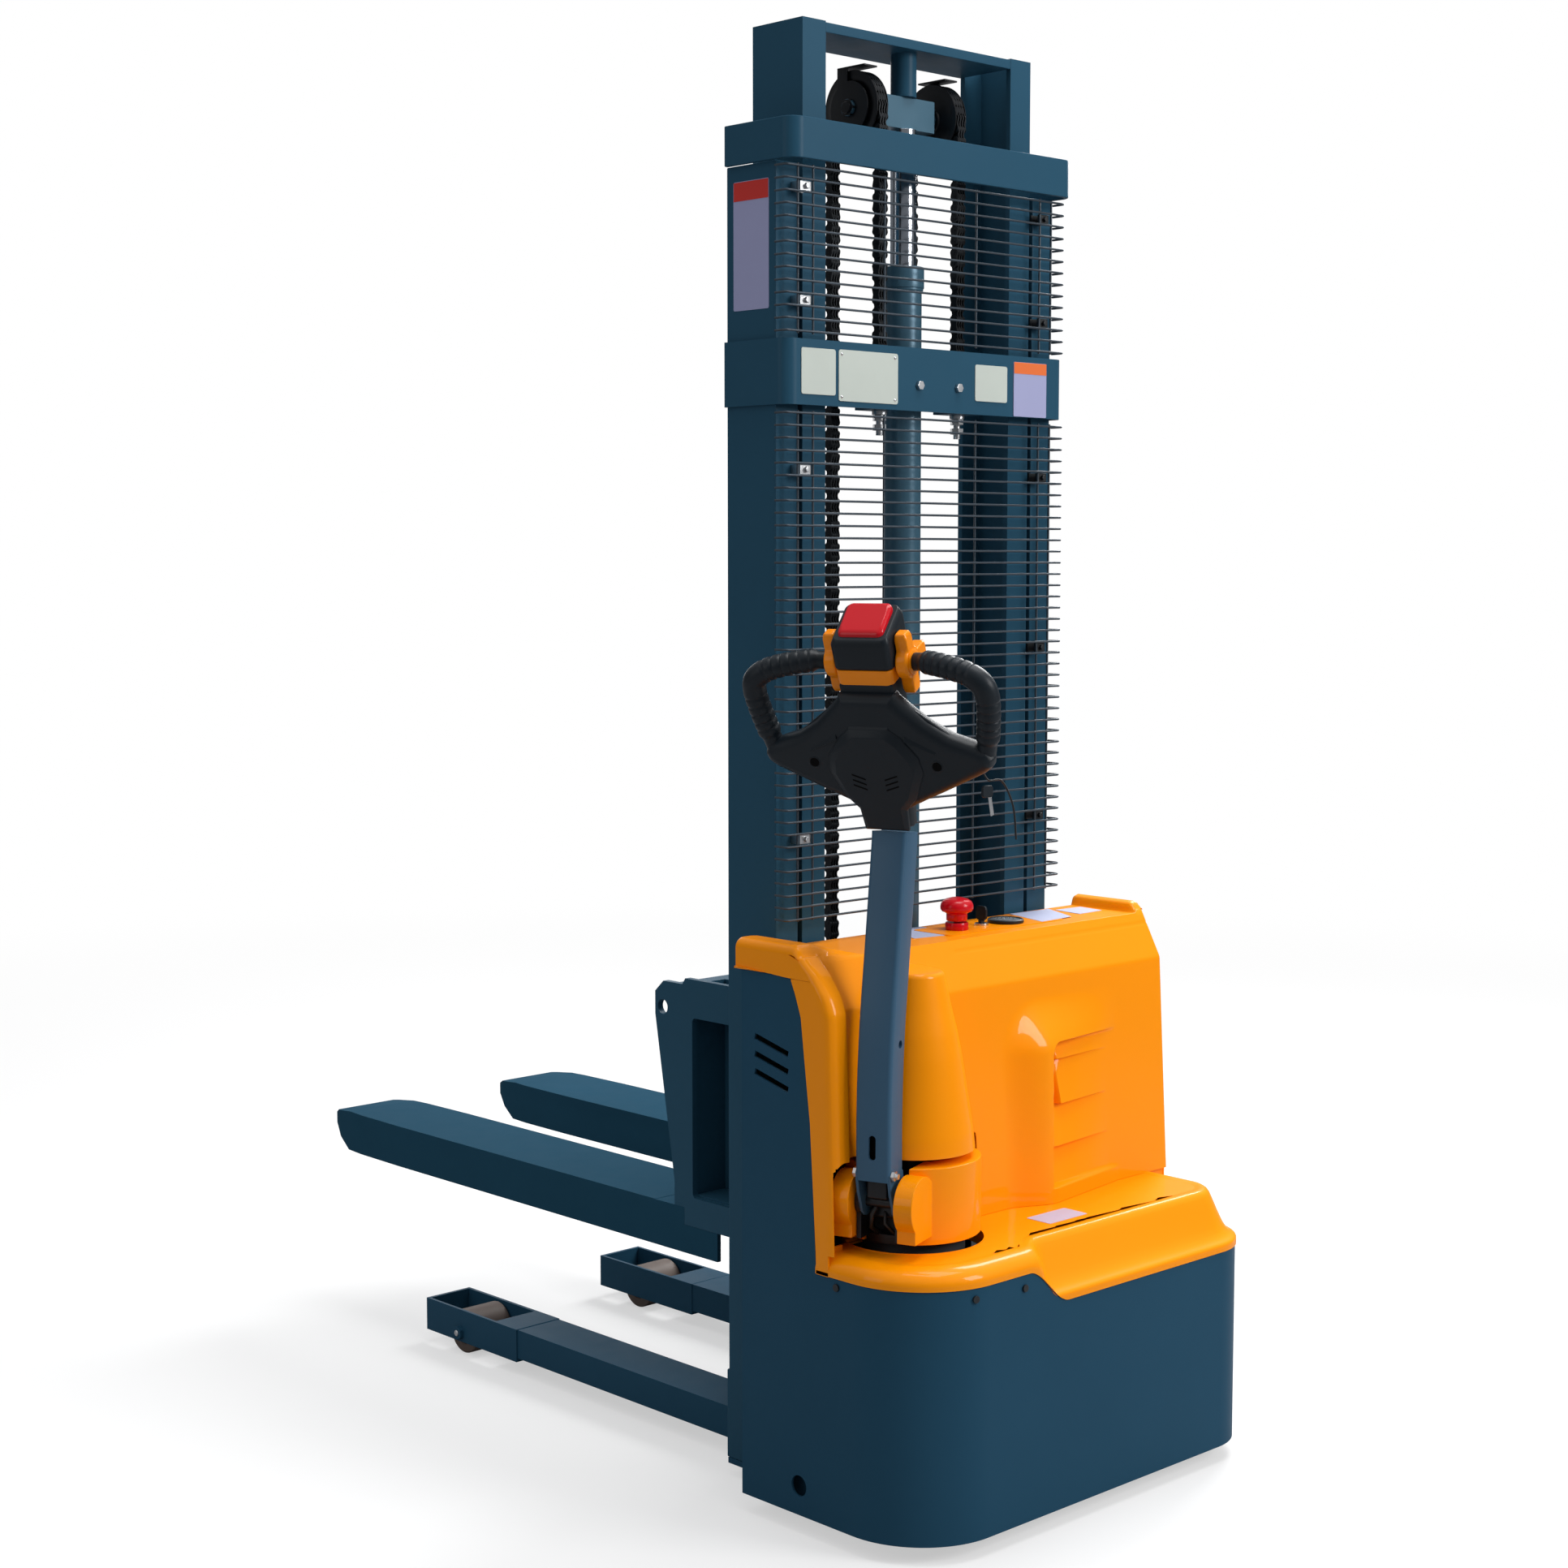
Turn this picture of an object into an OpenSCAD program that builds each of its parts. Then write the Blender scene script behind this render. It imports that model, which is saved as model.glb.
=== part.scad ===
// Walk-behind electric stacker: two-stage mast with forks and support legs, a battery and
// drive body behind the mast, and a tiller on the left. Drawn in millimetres with x = 0 on
// the centre plane and positive to the right, y = 0 on the mast's rear face and positive
// towards the fork tips, z = 0 on the ground. place() then centres the plan on the origin.

/* [Mast] */
// Overall width over the two outer mast channels
mast_w = 670; // [640:2:700]
// Depth of the mast channels, front to back
mast_d = 117; // [112:1:124]
// Flange width of an outer channel
outer_flange = 50; // [46:1:52]
// Web thickness of the mast channels (the flanges are 2 mm thicker)
mast_t = 8; // [6:0.5:9]
// Height of the top end of the outer channels
outer_top = 2185; // [2140:5:2230]
// Distance of the inner mast's outer faces from the centre plane
inner_x = 276; // [274:0.5:277]
// Flange width of an inner channel
inner_flange = 52; // [48:1:53]
// Height of the top of the inner mast
inner_top = 2417; // [2400:1:2430]
// Length of the inner mast rails
inner_len = 2205; // [2150:5:2210]
// Sheave pitch radius
sheave_r = 56; // [54:1:57]

/* [Lift cylinder] */
// Outside diameter of the cylinder tube
tube_d = 65; // [60:1:68]
// Bore of the cylinder tube
bore_d = 55; // [50:1:57]
// Diameter of the piston rod
rod_d = 45; // [35:1:46]
// Height of the top of the gland
gland_top = 2045; // [2000:5:2060]

/* [Forks] */
// Length of each fork from heel to tip
fork_len = 1220; // [1000:10:1280]
// Width over both forks
fork_over = 590; // [580:2:600]
// Width of one fork
fork_w = 170; // [165:1:175]
// Height of the top face of the forks
fork_top = 428; // [424:1:432]
// Height of a fork's side walls
fork_h = 81; // [74:1:82]

/* [Support legs] */
// Outer faces of the legs from the centre plane
leg_x = 275; // [270:1:278]
// Width of the roller boxes
leg_w = 105; // [100:1:110]
// Front end of the legs, ahead of the mast's rear face
leg_end = 1081; // [1000:1:1100]
// Load roller diameter
roller_d = 86; // [80:1:88]

/* [Body] */
// Half width of the body covers
body_x = 426; // [420:1:430]
// Rear face of the base cover, behind the mast's rear face
body_y = 421; // [410:1:430]
// Sheet thickness of the covers
cover_t = 4; // [3:0.5:5]
// Height of the base cover's top edge
base_top = 433; // [425:1:440]
// Height of the top of the upper cover
cover_top = 946; // [930:1:950]

/* [Drive and tiller] */
// Steering axis, sideways from the centre plane
drive_x = -240; // [-242:1:-238]
// Steering axis, from the mast's rear face
drive_y = -220; // [-222:1:-218]
// Drive wheel diameter
wheel_d = 230; // [210:1:235]
// Drive wheel width
wheel_w = 75; // [65:1:76]
// Angle the tiller stands at, turned from straight back
steer = -70; // [-75:1:-65]
// Tiller pivot distance behind the steering axis
pivot_back = 118; // [114:1:120]
// Tiller pivot height
pivot_z = 548; // [545:1:551]
// Lean of the tiller head from the vertical
head_lean = 25; // [20:1:28]
// Half width of the tiller head over the grips' centre lines
grip_x = 192; // [180:1:200]
// Radius of the tiller grips
grip_r = 17; // [15:0.5:18]

/* [Hidden] */
$fn = 48;

steel = [0.13, 0.23, 0.31];
orange = [1.0, 0.6, 0.02];
black = [0.06, 0.065, 0.07];
zinc = [0.72, 0.72, 0.7];
charcoal = [0.12, 0.12, 0.13];
wire_grey = [0.35, 0.38, 0.41];
roller_grey = [0.6, 0.6, 0.6];
button_black = [0.1, 0.1, 0.1];

mast_x = mast_w / 2;
mast_mid_y = mast_d / 2;
flange_t = mast_t + 2;
inner_d = mast_d + 1;
inner_mid_y = inner_d / 2;
inner_bot = inner_top - inner_len;
fork_x = fork_over / 2;
heel = 190;
tip = heel + fork_len;

// Chain sheaves, lift cylinder and middle beam
sheave_x = 95;
sheave_y = inner_mid_y;
sheave_z = 2300;
rear_chain_y = sheave_y - sheave_r;
front_chain_y = sheave_y + sheave_r;
mid_beam_z = 1799;
cyl_y = 42;

// Tiller head frame: origin at the neck, z along the leaning head
neck_back = 74;
neck_z = 1131;
grip_z = 252;
shaft_y = 30;
shaft_z = 280;

// A point of the tiller head frame (with y = 0) as it lies in plan
function head_plan(x, z) =
  let (y = -neck_back - z * sin(head_lean))
  [drive_x + x * cos(steer) - y * sin(steer), drive_y + x * sin(steer) + y * cos(steer)];

// Middle of the plan, from the outermost grips to the body's right face and the fork tips
low_x = head_plan(-grip_x, grip_z)[0] - grip_r;
low_y = head_plan(grip_x, grip_z)[1] - grip_r;
centre_x = (low_x + body_x + 2) / 2;
centre_y = (low_y + tip) / 2;

// ---- placing and shape helpers ----
module place() { translate([-centre_x, -centre_y, 0]) children(); }
// Steering frame: z on the steering axis, -y towards the tiller
module at_drive() { translate([drive_x, drive_y, 0]) rotate([0, 0, steer]) children(); }
module at_head() {
  at_drive() translate([0, -neck_back, neck_z]) rotate([head_lean, 0, 0]) children();
}
// The children and their mirror image across x = 0
module both() {
  children();
  mirror([1, 0, 0]) children();
}
// Block between two opposite corners
module box(low, high) { translate(low) cube(high - low); }
module xcyl(x0, x1, y, z, r, sides = 48) {
  translate([x0, y, z]) rotate([0, 90, 0]) cylinder(h = x1 - x0, r = r, $fn = sides);
}
module ycyl(y0, y1, x, z, r, sides = 48) {
  translate([x, y0, z]) rotate([-90, 0, 0]) cylinder(h = y1 - y0, r = r, $fn = sides);
}
module round_rect(x0, y0, x1, y1, r) {
  translate([x0 + r, y0]) square([x1 - x0 - 2 * r, y1 - y0]);
  translate([x0, y0 + r]) square([x1 - x0, y1 - y0 - 2 * r]);
  for (x = [x0 + r, x1 - r]) for (y = [y0 + r, y1 - r]) translate([x, y]) circle(r = r);
}
// Profile drawn in the Y-Z plane and carried from x0 to x1
module yz_prism(x0, x1) {
  translate([x0, 0, 0]) rotate([90, 0, 90]) linear_extrude(height = x1 - x0) children();
}
function reversed(list) = [for (i = [len(list) - 1:-1:0]) list[i]];

// ---- frame and legs ----
floor_z = 22;
floor_top = floor_z + 10;
weld_z = floor_top - 0.1;  // sunk into the floor plate
seat_z = floor_top + 0.2;  // just clear of the floor plate
foot_top = 46;
frame_x = 400;
frame_y = -190;
wall_t = 12;
plate_z = 320;             // plate that carries the drive and the castor
plate_top = plate_z + wall_t;
wall_top = plate_z + 1;
castor_x = 280;
castor_y = -270;
pedestal_z = 212;
pedestal_x0 = castor_x - 65;
pedestal_x1 = castor_x + 65;
tray_bottom = 468;

module chassis_frame() {
  foot_x = mast_x - outer_flange - 0.2;
  color(steel) difference() {
    union() {
      // floor plate under the mast, the feet on it, and the rear floor plate
      box([-mast_x, -30, floor_z], [mast_x, 119, floor_top]);
      box([-foot_x, -28, weld_z], [foot_x, -0.2, foot_top]);
      box([-70, -28, weld_z], [70, 84, foot_top]);
      box([-frame_x, frame_y, floor_z], [frame_x, -29, floor_top]);
      // beam that joins the legs ahead of the mast
      box([-mast_x + 56, 118.5, floor_z], [mast_x - 56, 124, 33]);
      box([-282, 122, seat_z], [282, 150, 88]);
      // side and middle walls up to the drive and castor plate
      both() box([frame_x - wall_t, frame_y, weld_z], [frame_x, -32, wall_top]);
      box([-wall_t, frame_y, weld_z], [0, -32, wall_top]);
      box([-frame_x, -290, plate_z], [frame_x, -30, plate_top]);
      box([-300, -380, plate_z], [330, -289, plate_top]);
      // castor pedestal
      box([pedestal_x0, -335, pedestal_z], [pedestal_x1, -189, pedestal_z + 10]);
      for (x = [pedestal_x0, pedestal_x1 - wall_t])
        box([x, frame_y, pedestal_z], [x + wall_t, -100, wall_top]);
      box([pedestal_x0, -200, pedestal_z], [pedestal_x1, -189, wall_top]);
      // posts that hold the battery tray
      for (x = [-69, 396]) for (y = [-60, -180])
        box([x, y, plate_top - 1], [x + 14, y + 14, tray_bottom]);
    }
    // bearing opening, then room for the drive wheel and the castor
    translate([drive_x, drive_y, 300]) cylinder(h = 50, r = 125, $fn = 96);
    translate([drive_x, drive_y, 10]) cylinder(h = 40, r = 140, $fn = 96);
    translate([castor_x, castor_y, 10]) cylinder(h = 40, r = 125, $fn = 96);
    translate([castor_x, castor_y, 200]) cylinder(h = 40, r = 11);
  }
}

leg_in = leg_x - leg_w;
load_y = 970;
load_r = roller_d / 2;

// Hollow beam with an open roller box at its front end
module leg() {
  difference() {
    union() {
      box([leg_in + 2, 150, seat_z], [leg_x - 3, 790, 88]);
      box([leg_in, 788, 25], [leg_x, leg_end, 89]);
    }
    box([leg_in + 8, 156, 38], [leg_x - 9, 780, 82]);
    box([leg_in + 7, 860, 10], [leg_x - 7, leg_end - 8, 100]);
  }
}
module support_legs() {
  color(steel) both() union() {
    leg();
    // roller axle and its hexagon head
    xcyl(leg_in + 0.1, leg_x + 0.1, load_y, load_r, 10.05);
    xcyl(leg_x, leg_x + 8, load_y, load_r, 14, 6);
  }
}
module load_rollers() {
  color([0.35, 0.3, 0.27]) both() difference() {
    xcyl(leg_in + 10, leg_x - 10, load_y, load_r, load_r, 96);
    xcyl(leg_in, leg_x, load_y, load_r, 10.1);
    // round recess in each end
    for (x = [leg_in + 9, leg_x - 9 - 7]) xcyl(x, x + 7, load_y, load_r, 24);
  }
}

// ---- outer mast ----
module outer_channel() {
  difference() {
    box([mast_x - outer_flange, 0, seat_z], [mast_x, mast_d, outer_top]);
    box([mast_x - outer_flange - 1, flange_t, 30],
        [mast_x - mast_t, mast_d - flange_t, outer_top + 1]);
  }
  // foot plate over the front flange
  box([mast_x - outer_flange, mast_d - 0.1, seat_z], [mast_x, mast_d + 5, 185]);
}
module outer_mast_rails() { color(steel) both() union() outer_channel(); }

// Sheet beam, U-shaped in plan and open to the front, with rounded rear corners
module bent_beam(side_x, sheet, rear_y, front_y, low_z, high_z, bend_r) {
  translate([0, 0, low_z]) linear_extrude(height = high_z - low_z) difference() {
    round_rect(-side_x, rear_y, side_x, front_y + 60, bend_r);
    round_rect(-side_x + sheet, rear_y + sheet, side_x - sheet, front_y + 50,
      max(1, bend_r - sheet));
    translate([-side_x - 1, front_y]) square([2 * side_x + 2, 100]);
  }
}
module mast_top_beam() {
  color(steel) bent_beam(side_x = mast_x + 8, sheet = 8, rear_y = -46, front_y = 114,
    low_z = outer_top, high_z = 2250, bend_r = 26);
}

beam_bolts_x = [-34, 62];
beam_bolt_z = 1842;
module mast_mid_beam() {
  shelf_top = mid_beam_z + 8;
  color(steel) difference() {
    union() {
      bent_beam(side_x = mast_x + 5.5, sheet = 5.5, rear_y = -30, front_y = mast_d,
        low_z = mid_beam_z, high_z = 1904, bend_r = 24);
      // ribbed shelves for the chain anchors
      both() {
        box([60, -25, mid_beam_z], [130, 26, shelf_top]);
        for (x = [60, 124]) box([x, -25, shelf_top], [x + 6, 26, 1850]);
      }
    }
    both() translate([sheave_x, rear_chain_y, 1790]) cylinder(h = 30, r = 6.5);
    for (x = beam_bolts_x) ycyl(-31, -20, x, beam_bolt_z, 5.5);
  }
}
module mast_pads() {
  color([0.9, 0.9, 0.86]) both() difference() {
    box([inner_x + 0.4, 14, 2112], [mast_x - mast_t, mast_d - 14, 2166]);
    box([mast_x - mast_t - 30, 24, 2120], [mast_x - mast_t - 8, mast_d - 24, 2158]);
  }
}

// ---- lift cylinder ----
tube_z = foot_top + 0.2;
gland_h = 36;
piston_z = 300;
module lift_cylinder() {
  color([0.16, 0.27, 0.36]) translate([0, cyl_y, 0]) difference() {
    union() {
      translate([0, 0, tube_z]) cylinder(h = gland_top - tube_z, d = tube_d, $fn = 64);
      translate([0, 0, gland_top - gland_h]) cylinder(h = gland_h, d = tube_d + 8, $fn = 64);
    }
    translate([0, 0, 70]) cylinder(h = gland_top - gland_h - 70, d = bore_d, $fn = 64);
    translate([0, 0, gland_top - 40]) cylinder(h = 50, r = rod_d / 2 + 0.05, $fn = 64);
  }
}
module lift_rod() {
  color([0.85, 0.86, 0.88]) translate([0, cyl_y, piston_z]) {
    cylinder(h = sheave_z - 26 - piston_z, d = rod_d, $fn = 64);
    cylinder(h = 40, r = bore_d / 2 - 0.05, $fn = 64);
  }
}
// Threaded end, two nuts, washer and clevis of each rear chain
module chain_anchors() {
  color(zinc) both() translate([sheave_x, rear_chain_y, 0]) {
    translate([0, 0, 1758]) cylinder(h = 62, r = 6);
    for (z = [1766, 1782]) translate([0, 0, z]) cylinder(h = 10, r = 11.5, $fn = 6);
    translate([0, 0, 1792.4]) cylinder(h = 6.4, r = 13);
    translate([-7, -5, 1814]) cube([14, 10, 22]);
  }
}

// ---- wire guard ----
wire_r = 2;
wire_y = -28;
wire_x = mast_x + 3;
wire_pitch = 20;
// One level wire with its two ends turned forward
module wire_row(z) {
  xcyl(-wire_x, wire_x, wire_y, z, wire_r, 6);
  both() ycyl(wire_y, -1, wire_x, z, wire_r, 6);
}
module guard(low_z, high_z) {
  rows = floor((high_z - low_z) / wire_pitch);
  for (i = [0:rows]) wire_row(low_z + i * wire_pitch);
  for (x = [-310, -112, 112, 300])
    translate([x, -25, low_z - 3]) cylinder(h = rows * wire_pitch + 6, r = wire_r, $fn = 6);
}
module guard_upper() { color(wire_grey) guard(1916, 2178); }
module guard_lower() { color(wire_grey) guard(966, 1790); }

clip_z = [1096, 1396, 1696, 1966, 2146];
module guard_clips() {
  color(zinc) both() for (z = clip_z) {
    difference() {
      box([277, -22.5, z - 8], [302, -0.2, z + 8]);
      box([269, -18, z - 9], [297, -4, z + 9]);
    }
    ycyl(-28.5, -22.4, 290, z, 5, 6);
  }
}

// ---- covers ----
left_r = 150;
right_r = 110;
skin_x = body_x + 2;  // orange covers stand 2 mm proud of the base cover
skin_y = body_y + 2;
cover_z = 466;
tray_z = 921;         // top face of the upper cover between its two end lips

// Plan of the body, inset by a distance, with its two rear corners rounded
module base_plan(half_x, rear, inset) {
  union() {
    translate([-half_x + inset, -rear + left_r])
      square([2 * (half_x - inset), rear - left_r - 16]);
    translate([-half_x + left_r, -rear + inset])
      square([2 * half_x - left_r - right_r, 160]);
    translate([-half_x + left_r, -rear + left_r]) circle(r = left_r - inset, $fn = 96);
    translate([half_x - right_r, -rear + right_r]) circle(r = right_r - inset, $fn = 96);
    translate([half_x - right_r, -rear + right_r]) square([right_r - inset, 60]);
  }
}

// Base cover screws: x, y, z, turn of the screw's axis about z
cover_screws = [[-305.6, -416, 416, -11.5], [-195, -419, 412, 0], [-424, -235.4, 419.5, -90]];
module at_cover_screws() {
  for (s = cover_screws) translate([s[0], s[1], s[2]]) rotate([90, 0, s[3]]) children();
}

// Rear edge of the base cover, stepping down to the right of the tiller: x, z
base_step = [[-180, base_top + 1], [-160, 430], [-135, 405], [-110, 380], [-86, 372],
  [body_x + 5, 372], [body_x + 5, base_top + 1]];
module base_cover() {
  color(steel) difference() {
    translate([0, 0, 30]) linear_extrude(height = base_top - 30) base_plan(body_x, body_y, 0);
    translate([0, 0, 20]) linear_extrude(height = base_top) difference() {
      base_plan(body_x, body_y, cover_t);
      translate([-body_x, -20]) square([2 * body_x, 10]);
    }
    // opening behind the mast
    box([-mast_x - 6, -40, 10], [mast_x + 6, 0, 500]);
    translate([0, -200, 0]) rotate([90, 0, 0]) linear_extrude(height = 300) polygon(base_step);
    // round hole in the left side
    xcyl(-body_x - 5, -body_x + 10, -150, 78, 17);
    at_cover_screws() cylinder(h = 30, r = 3.2, center = true);
  }
}
module fasteners() {
  color(zinc) for (x = beam_bolts_x) {
    ycyl(-36, -30.1, x, beam_bolt_z, 8, 6);
    ycyl(-30.2, -25.2, x, beam_bolt_z, 5);
  }
  color([0.1, 0.1, 0.11]) at_cover_screws() {
    translate([0, 0, -2]) cylinder(h = 7, r = 3);
    translate([0, 0, 2.25]) cylinder(h = 3.2, r = 6);
  }
}

// Outline of a side panel: y, z
panel_outline = [[-16, base_top + 0.02], [-16, 900], [-130, 894], [-154, 836], [-175, 671],
  [-189, base_top + 0.02]];
// The recess for it in the upper cover, slightly larger: y, z
panel_recess = [[1, 400], [1, 901.6], [-130.4, 894.6], [-154.6, 836], [-175.6, 671],
  [-189.8, 434], [-189.8, 400]];
module side_panel() {
  difference() {
    union() {
      yz_prism(body_x - cover_t, body_x) polygon(panel_outline);
      // front return
      box([mast_x + 7, -20, 434], [body_x, -16, 899.7]);
    }
    // three slanted slots
    for (i = [0:2]) yz_prism(body_x - 10, body_x + 2)
      translate([-86, 725 + i * 28.5]) rotate([0, 0, 14]) translate([-40, -5]) square([80, 10]);
  }
}
module side_panels() { color(steel) both() side_panel(); }

// Sections of the upper cover (y, z), outside and inside. The right part runs down at full
// depth; the left part is cut back at the bottom behind the drive unit.
cover_crown = [[-4, cover_z], [-4, cover_top], [-138, cover_top - 6], [-152, cover_top - 20],
  [-195, 845]];
crown_inside = [[0, cover_z - 5], [0, tray_z - 6], [-149.5, tray_z - 6], [-190.7, 842.5]];
right_outside = concat(cover_crown, [[-216, cover_z]]);
right_inside = concat(crown_inside, [[-211.8, cover_z - 5]]);
left_outside = concat(cover_crown, [[-207.8, 614], [-100, 610], [-100, cover_z]]);
left_inside = concat(crown_inside, [[-203.4, 619], [-96, 615], [-96, cover_z - 5]]);
// Strip at the far left (y, z), outside and inside
strip_outside = [[-99, 466], [-99, 625], [-130, 900], [-185, 905], [-220, 845], [-226, 700],
  [-236, 466]];
strip_inside = [[-103, 460], [-103, 625], [-134, 896], [-182.5, 901], [-216, 844], [-222, 700],
  [-232, 460]];
// Raised louvre panel on the rear face: y, z
louvre_outline = [[-196, 800], [-224, 770], [-232, 520], [-212, 500], [-205, 500], [-190, 800]];
split_x = -76;

module upper_cover() {
  color(orange) difference() {
    union() {
      difference() {
        union() {
          yz_prism(split_x, skin_x) polygon(right_outside);
          yz_prism(-skin_x, split_x) polygon(left_outside);
        }
        yz_prism(split_x + 4, skin_x - cover_t - 2.5) polygon(right_inside);
        yz_prism(-skin_x + cover_t + 2.5, split_x + 4.1) polygon(left_inside);
      }
      // left strip behind the side panel
      difference() {
        yz_prism(-skin_x, -392) polygon(strip_outside);
        yz_prism(-skin_x + cover_t, -396) polygon(strip_inside);
        box([-skin_x + cover_t, -260, 460], [-388, -104, 612]);
      }
      // louvre panel
      difference() {
        yz_prism(90, 330) polygon(louvre_outline);
        for (i = [0:3]) yz_prism(170, 300) translate([-236, 560 + i * 58]) square([10, 8]);
      }
      // dome over the traction motor
      translate([drive_x, drive_y, 614]) {
        cylinder(h = 150, r1 = 100, r2 = 76, $fn = 72);
        translate([0, 0, 149.9]) cylinder(h = 131.1, r1 = 76, r2 = 48, $fn = 72);
      }
    }
    // room for the motor inside the dome
    translate([drive_x, drive_y, 600]) cylinder(h = 15, r = 96, $fn = 72);
    translate([drive_x, drive_y, 614.9]) cylinder(h = 149, r1 = 96, r2 = 72, $fn = 72);
    translate([drive_x, drive_y, 763.8]) cylinder(h = 127, r1 = 72, r2 = 44, $fn = 72);
    // tray between the end lips
    box([-350, -170, tray_z], [402, 5, cover_top + 5]);
    // recesses that take the side panels
    both() yz_prism(body_x - cover_t - 0.5, skin_x + 1) polygon(panel_recess);
    // dash opening
    box([-50, -126, tray_z - 20], [250, -26, tray_z + 5]);
    // room for the side panels' front returns
    both() box([mast_x + 6, -21, 430], [skin_x + 1, -10, 901]);
  }
}

// Rear edge of the deck cover's skirt: x, z
skirt_step = [[-174, base_top + 0.5], [-158, 431], [-133, 406.5], [-108, 381.5], [-84, 372.5],
  [body_x + 9, 372.5]];
// Ends of the deck's rear slope: y, z
slope_top = [-368, cover_z];
slope_foot = [-body_y - 1, 396];
skirt_t = 6.5;
module deck_cover() {
  color(orange) difference() {
    translate([0, 0, 372.5]) linear_extrude(height = 93) base_plan(skin_x, skin_y, 0);
    // hollow under the deck plate
    translate([0, 0, 360]) linear_extrude(height = 73.5) base_plan(skin_x, skin_y, skirt_t);
    intersection() {
      translate([0, 0, 433.4]) linear_extrude(height = 28.1) base_plan(skin_x, skin_y, skirt_t);
      union() {
        box([-skin_x, -skin_y, 430], [-94, 0, 470]);
        yz_prism(-88, skin_x) polygon([[0, 430], [0, 461.5], [slope_top[0] + 3, 461.5],
          [slope_foot[0] + 3, 392], [slope_foot[0] + 3, 430]]);
      }
    }
    // front end, open towards the battery bay
    box([-skin_x - 1, -189.5, 360], [skin_x + 1, 10, 500]);
    box([-130, -218, 420], [skin_x - 6, -185, 500]);
    // left of the step the skirt ends at the base cover's full height
    translate([0, -150, 0]) rotate([90, 0, 0]) linear_extrude(height = 400)
      polygon(concat([[-skin_x - 5, base_top + 0.5]], skirt_step,
        [[body_x + 9, 350], [-skin_x - 5, 350]]));
    // right side wall follows the base cover
    box([skin_x - 40, -200.5, 350], [skin_x + 5, -180, base_top + 0.5]);
    // sloped rear edge
    yz_prism(-88, skin_x + 5) polygon([slope_top, slope_foot, [-skin_y - 30, 396],
      [-skin_y - 30, 490], [slope_top[0], 490]]);
    translate([drive_x, drive_y, 420]) cylinder(h = 80, r = 118, $fn = 96);
  }
}

// ---- dash ----
// Places of the controls on the dash: x, y
stop_at = [15, -78, 0];
key_at = [84, -72, 0];
gauge_at = [140, -78, 0];
dash_seat = tray_z + 0.2;

module dash_panel() {
  rim_z = 908;
  rim_top = 918.1;
  color(orange) difference() {
    union() {
      box([-49, -125, 918], [249, -27, tray_z]);
      for (x = [-49, 246]) box([x, -125, rim_z], [x + 3, -27, rim_top]);
      for (y = [-125, -30]) box([-49, y, rim_z], [249, y + 3, rim_top]);
    }
    translate([0, 0, 900]) {
      translate(stop_at) cylinder(h = 40, r = 11.1);
      translate(key_at) cylinder(h = 40, r = 9.1);
      translate(gauge_at) cylinder(h = 40, r = 26.1);
    }
  }
}
module stop_base() {
  color([0.7, 0.06, 0.05]) translate(stop_at) difference() {
    union() {
      translate([0, 0, dash_seat]) cylinder(h = 12.8, r = 17.5);
      translate([0, 0, 880]) cylinder(h = 41.3, r = 11);
    }
    translate([0, 0, 885]) cylinder(h = 60, r = 6.05);
  }
}
module stop_button() {
  color([0.8, 0.04, 0.05]) translate(stop_at) {
    translate([0, 0, 895]) cylinder(h = 46, r = 6);
    translate([0, 0, 940]) cylinder(h = 20, r = 17);
    translate([0, 0, 958]) cylinder(h = 14, r1 = 25, r2 = 27.5);
    translate([0, 0, 972]) cylinder(h = 6, r1 = 27.5, r2 = 20);
  }
}
module key_switch() {
  color(zinc) translate(key_at) difference() {
    union() {
      translate([0, 0, 890]) cylinder(h = 34, r = 9);
      translate([0, 0, dash_seat]) cylinder(h = 5, r = 12);
    }
    translate([0, 0, 900]) cylinder(h = 40, r = 5.05);
  }
}
module ignition_key() {
  color([0.15, 0.15, 0.16]) translate(key_at) {
    translate([0, 0, 905]) cylinder(h = 25, r = 5);
    translate([-2, -10, 928]) cube([4, 20, 26]);
  }
}
module charge_gauge() {
  color(black) translate(gauge_at) {
    translate([0, 0, 895]) cylinder(h = 26, r = 26);
    translate([0, 0, tray_z]) cylinder(h = 6.2, r = 30);
  }
}

// ---- power pack ----
battery_z = 478;
battery_top = 690;
module batteries() {
  color(charcoal) for (x = [-68, 172]) {
    box([x, -180, battery_z], [x + 232, -24, battery_top]);
    // terminals
    for (dx = [40, 196]) translate([x + dx, -150, battery_top]) cylinder(h = 14, r = 8);
  }
}
module battery_tray() {
  color(steel) difference() {
    box([-71, -186, tray_bottom + 0.2], [412, -22, battery_z]);
    box([-50, -160, 460], [380, -50, 480]);
  }
}
module pump_motor() {
  color([0.2, 0.2, 0.22]) {
    translate([60, -110, 90]) cylinder(h = 190, d = 112);
    translate([60, -110, 32.4]) cylinder(h = 58, d = 84);
  }
}
module oil_tank() {
  color([0.16, 0.17, 0.18]) {
    box([135, -150, 34], [320, -50, 200]);
    translate([290, -90, 200]) cylinder(h = 20, r = 14);
  }
}
module valve_block() {
  color(zinc) {
    box([20, -190, 340], [100, -110, 400]);
    translate([60, -150, 400]) cylinder(h = 40, d = 34);
    translate([34, -150, 400]) cylinder(h = 22, r = 8);
  }
}
module controller() {
  color([0.2, 0.21, 0.22]) {
    box([130, -186, 340], [330, -60, 395]);
    // cooling fins
    for (i = [0:8]) box([134 + i * 22, -182, 395], [138 + i * 22, -64, 410]);
  }
}
module charger() { color([0.4, 0.41, 0.42]) box([-80, -165, 712], [130, -30, 790]); }

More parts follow.
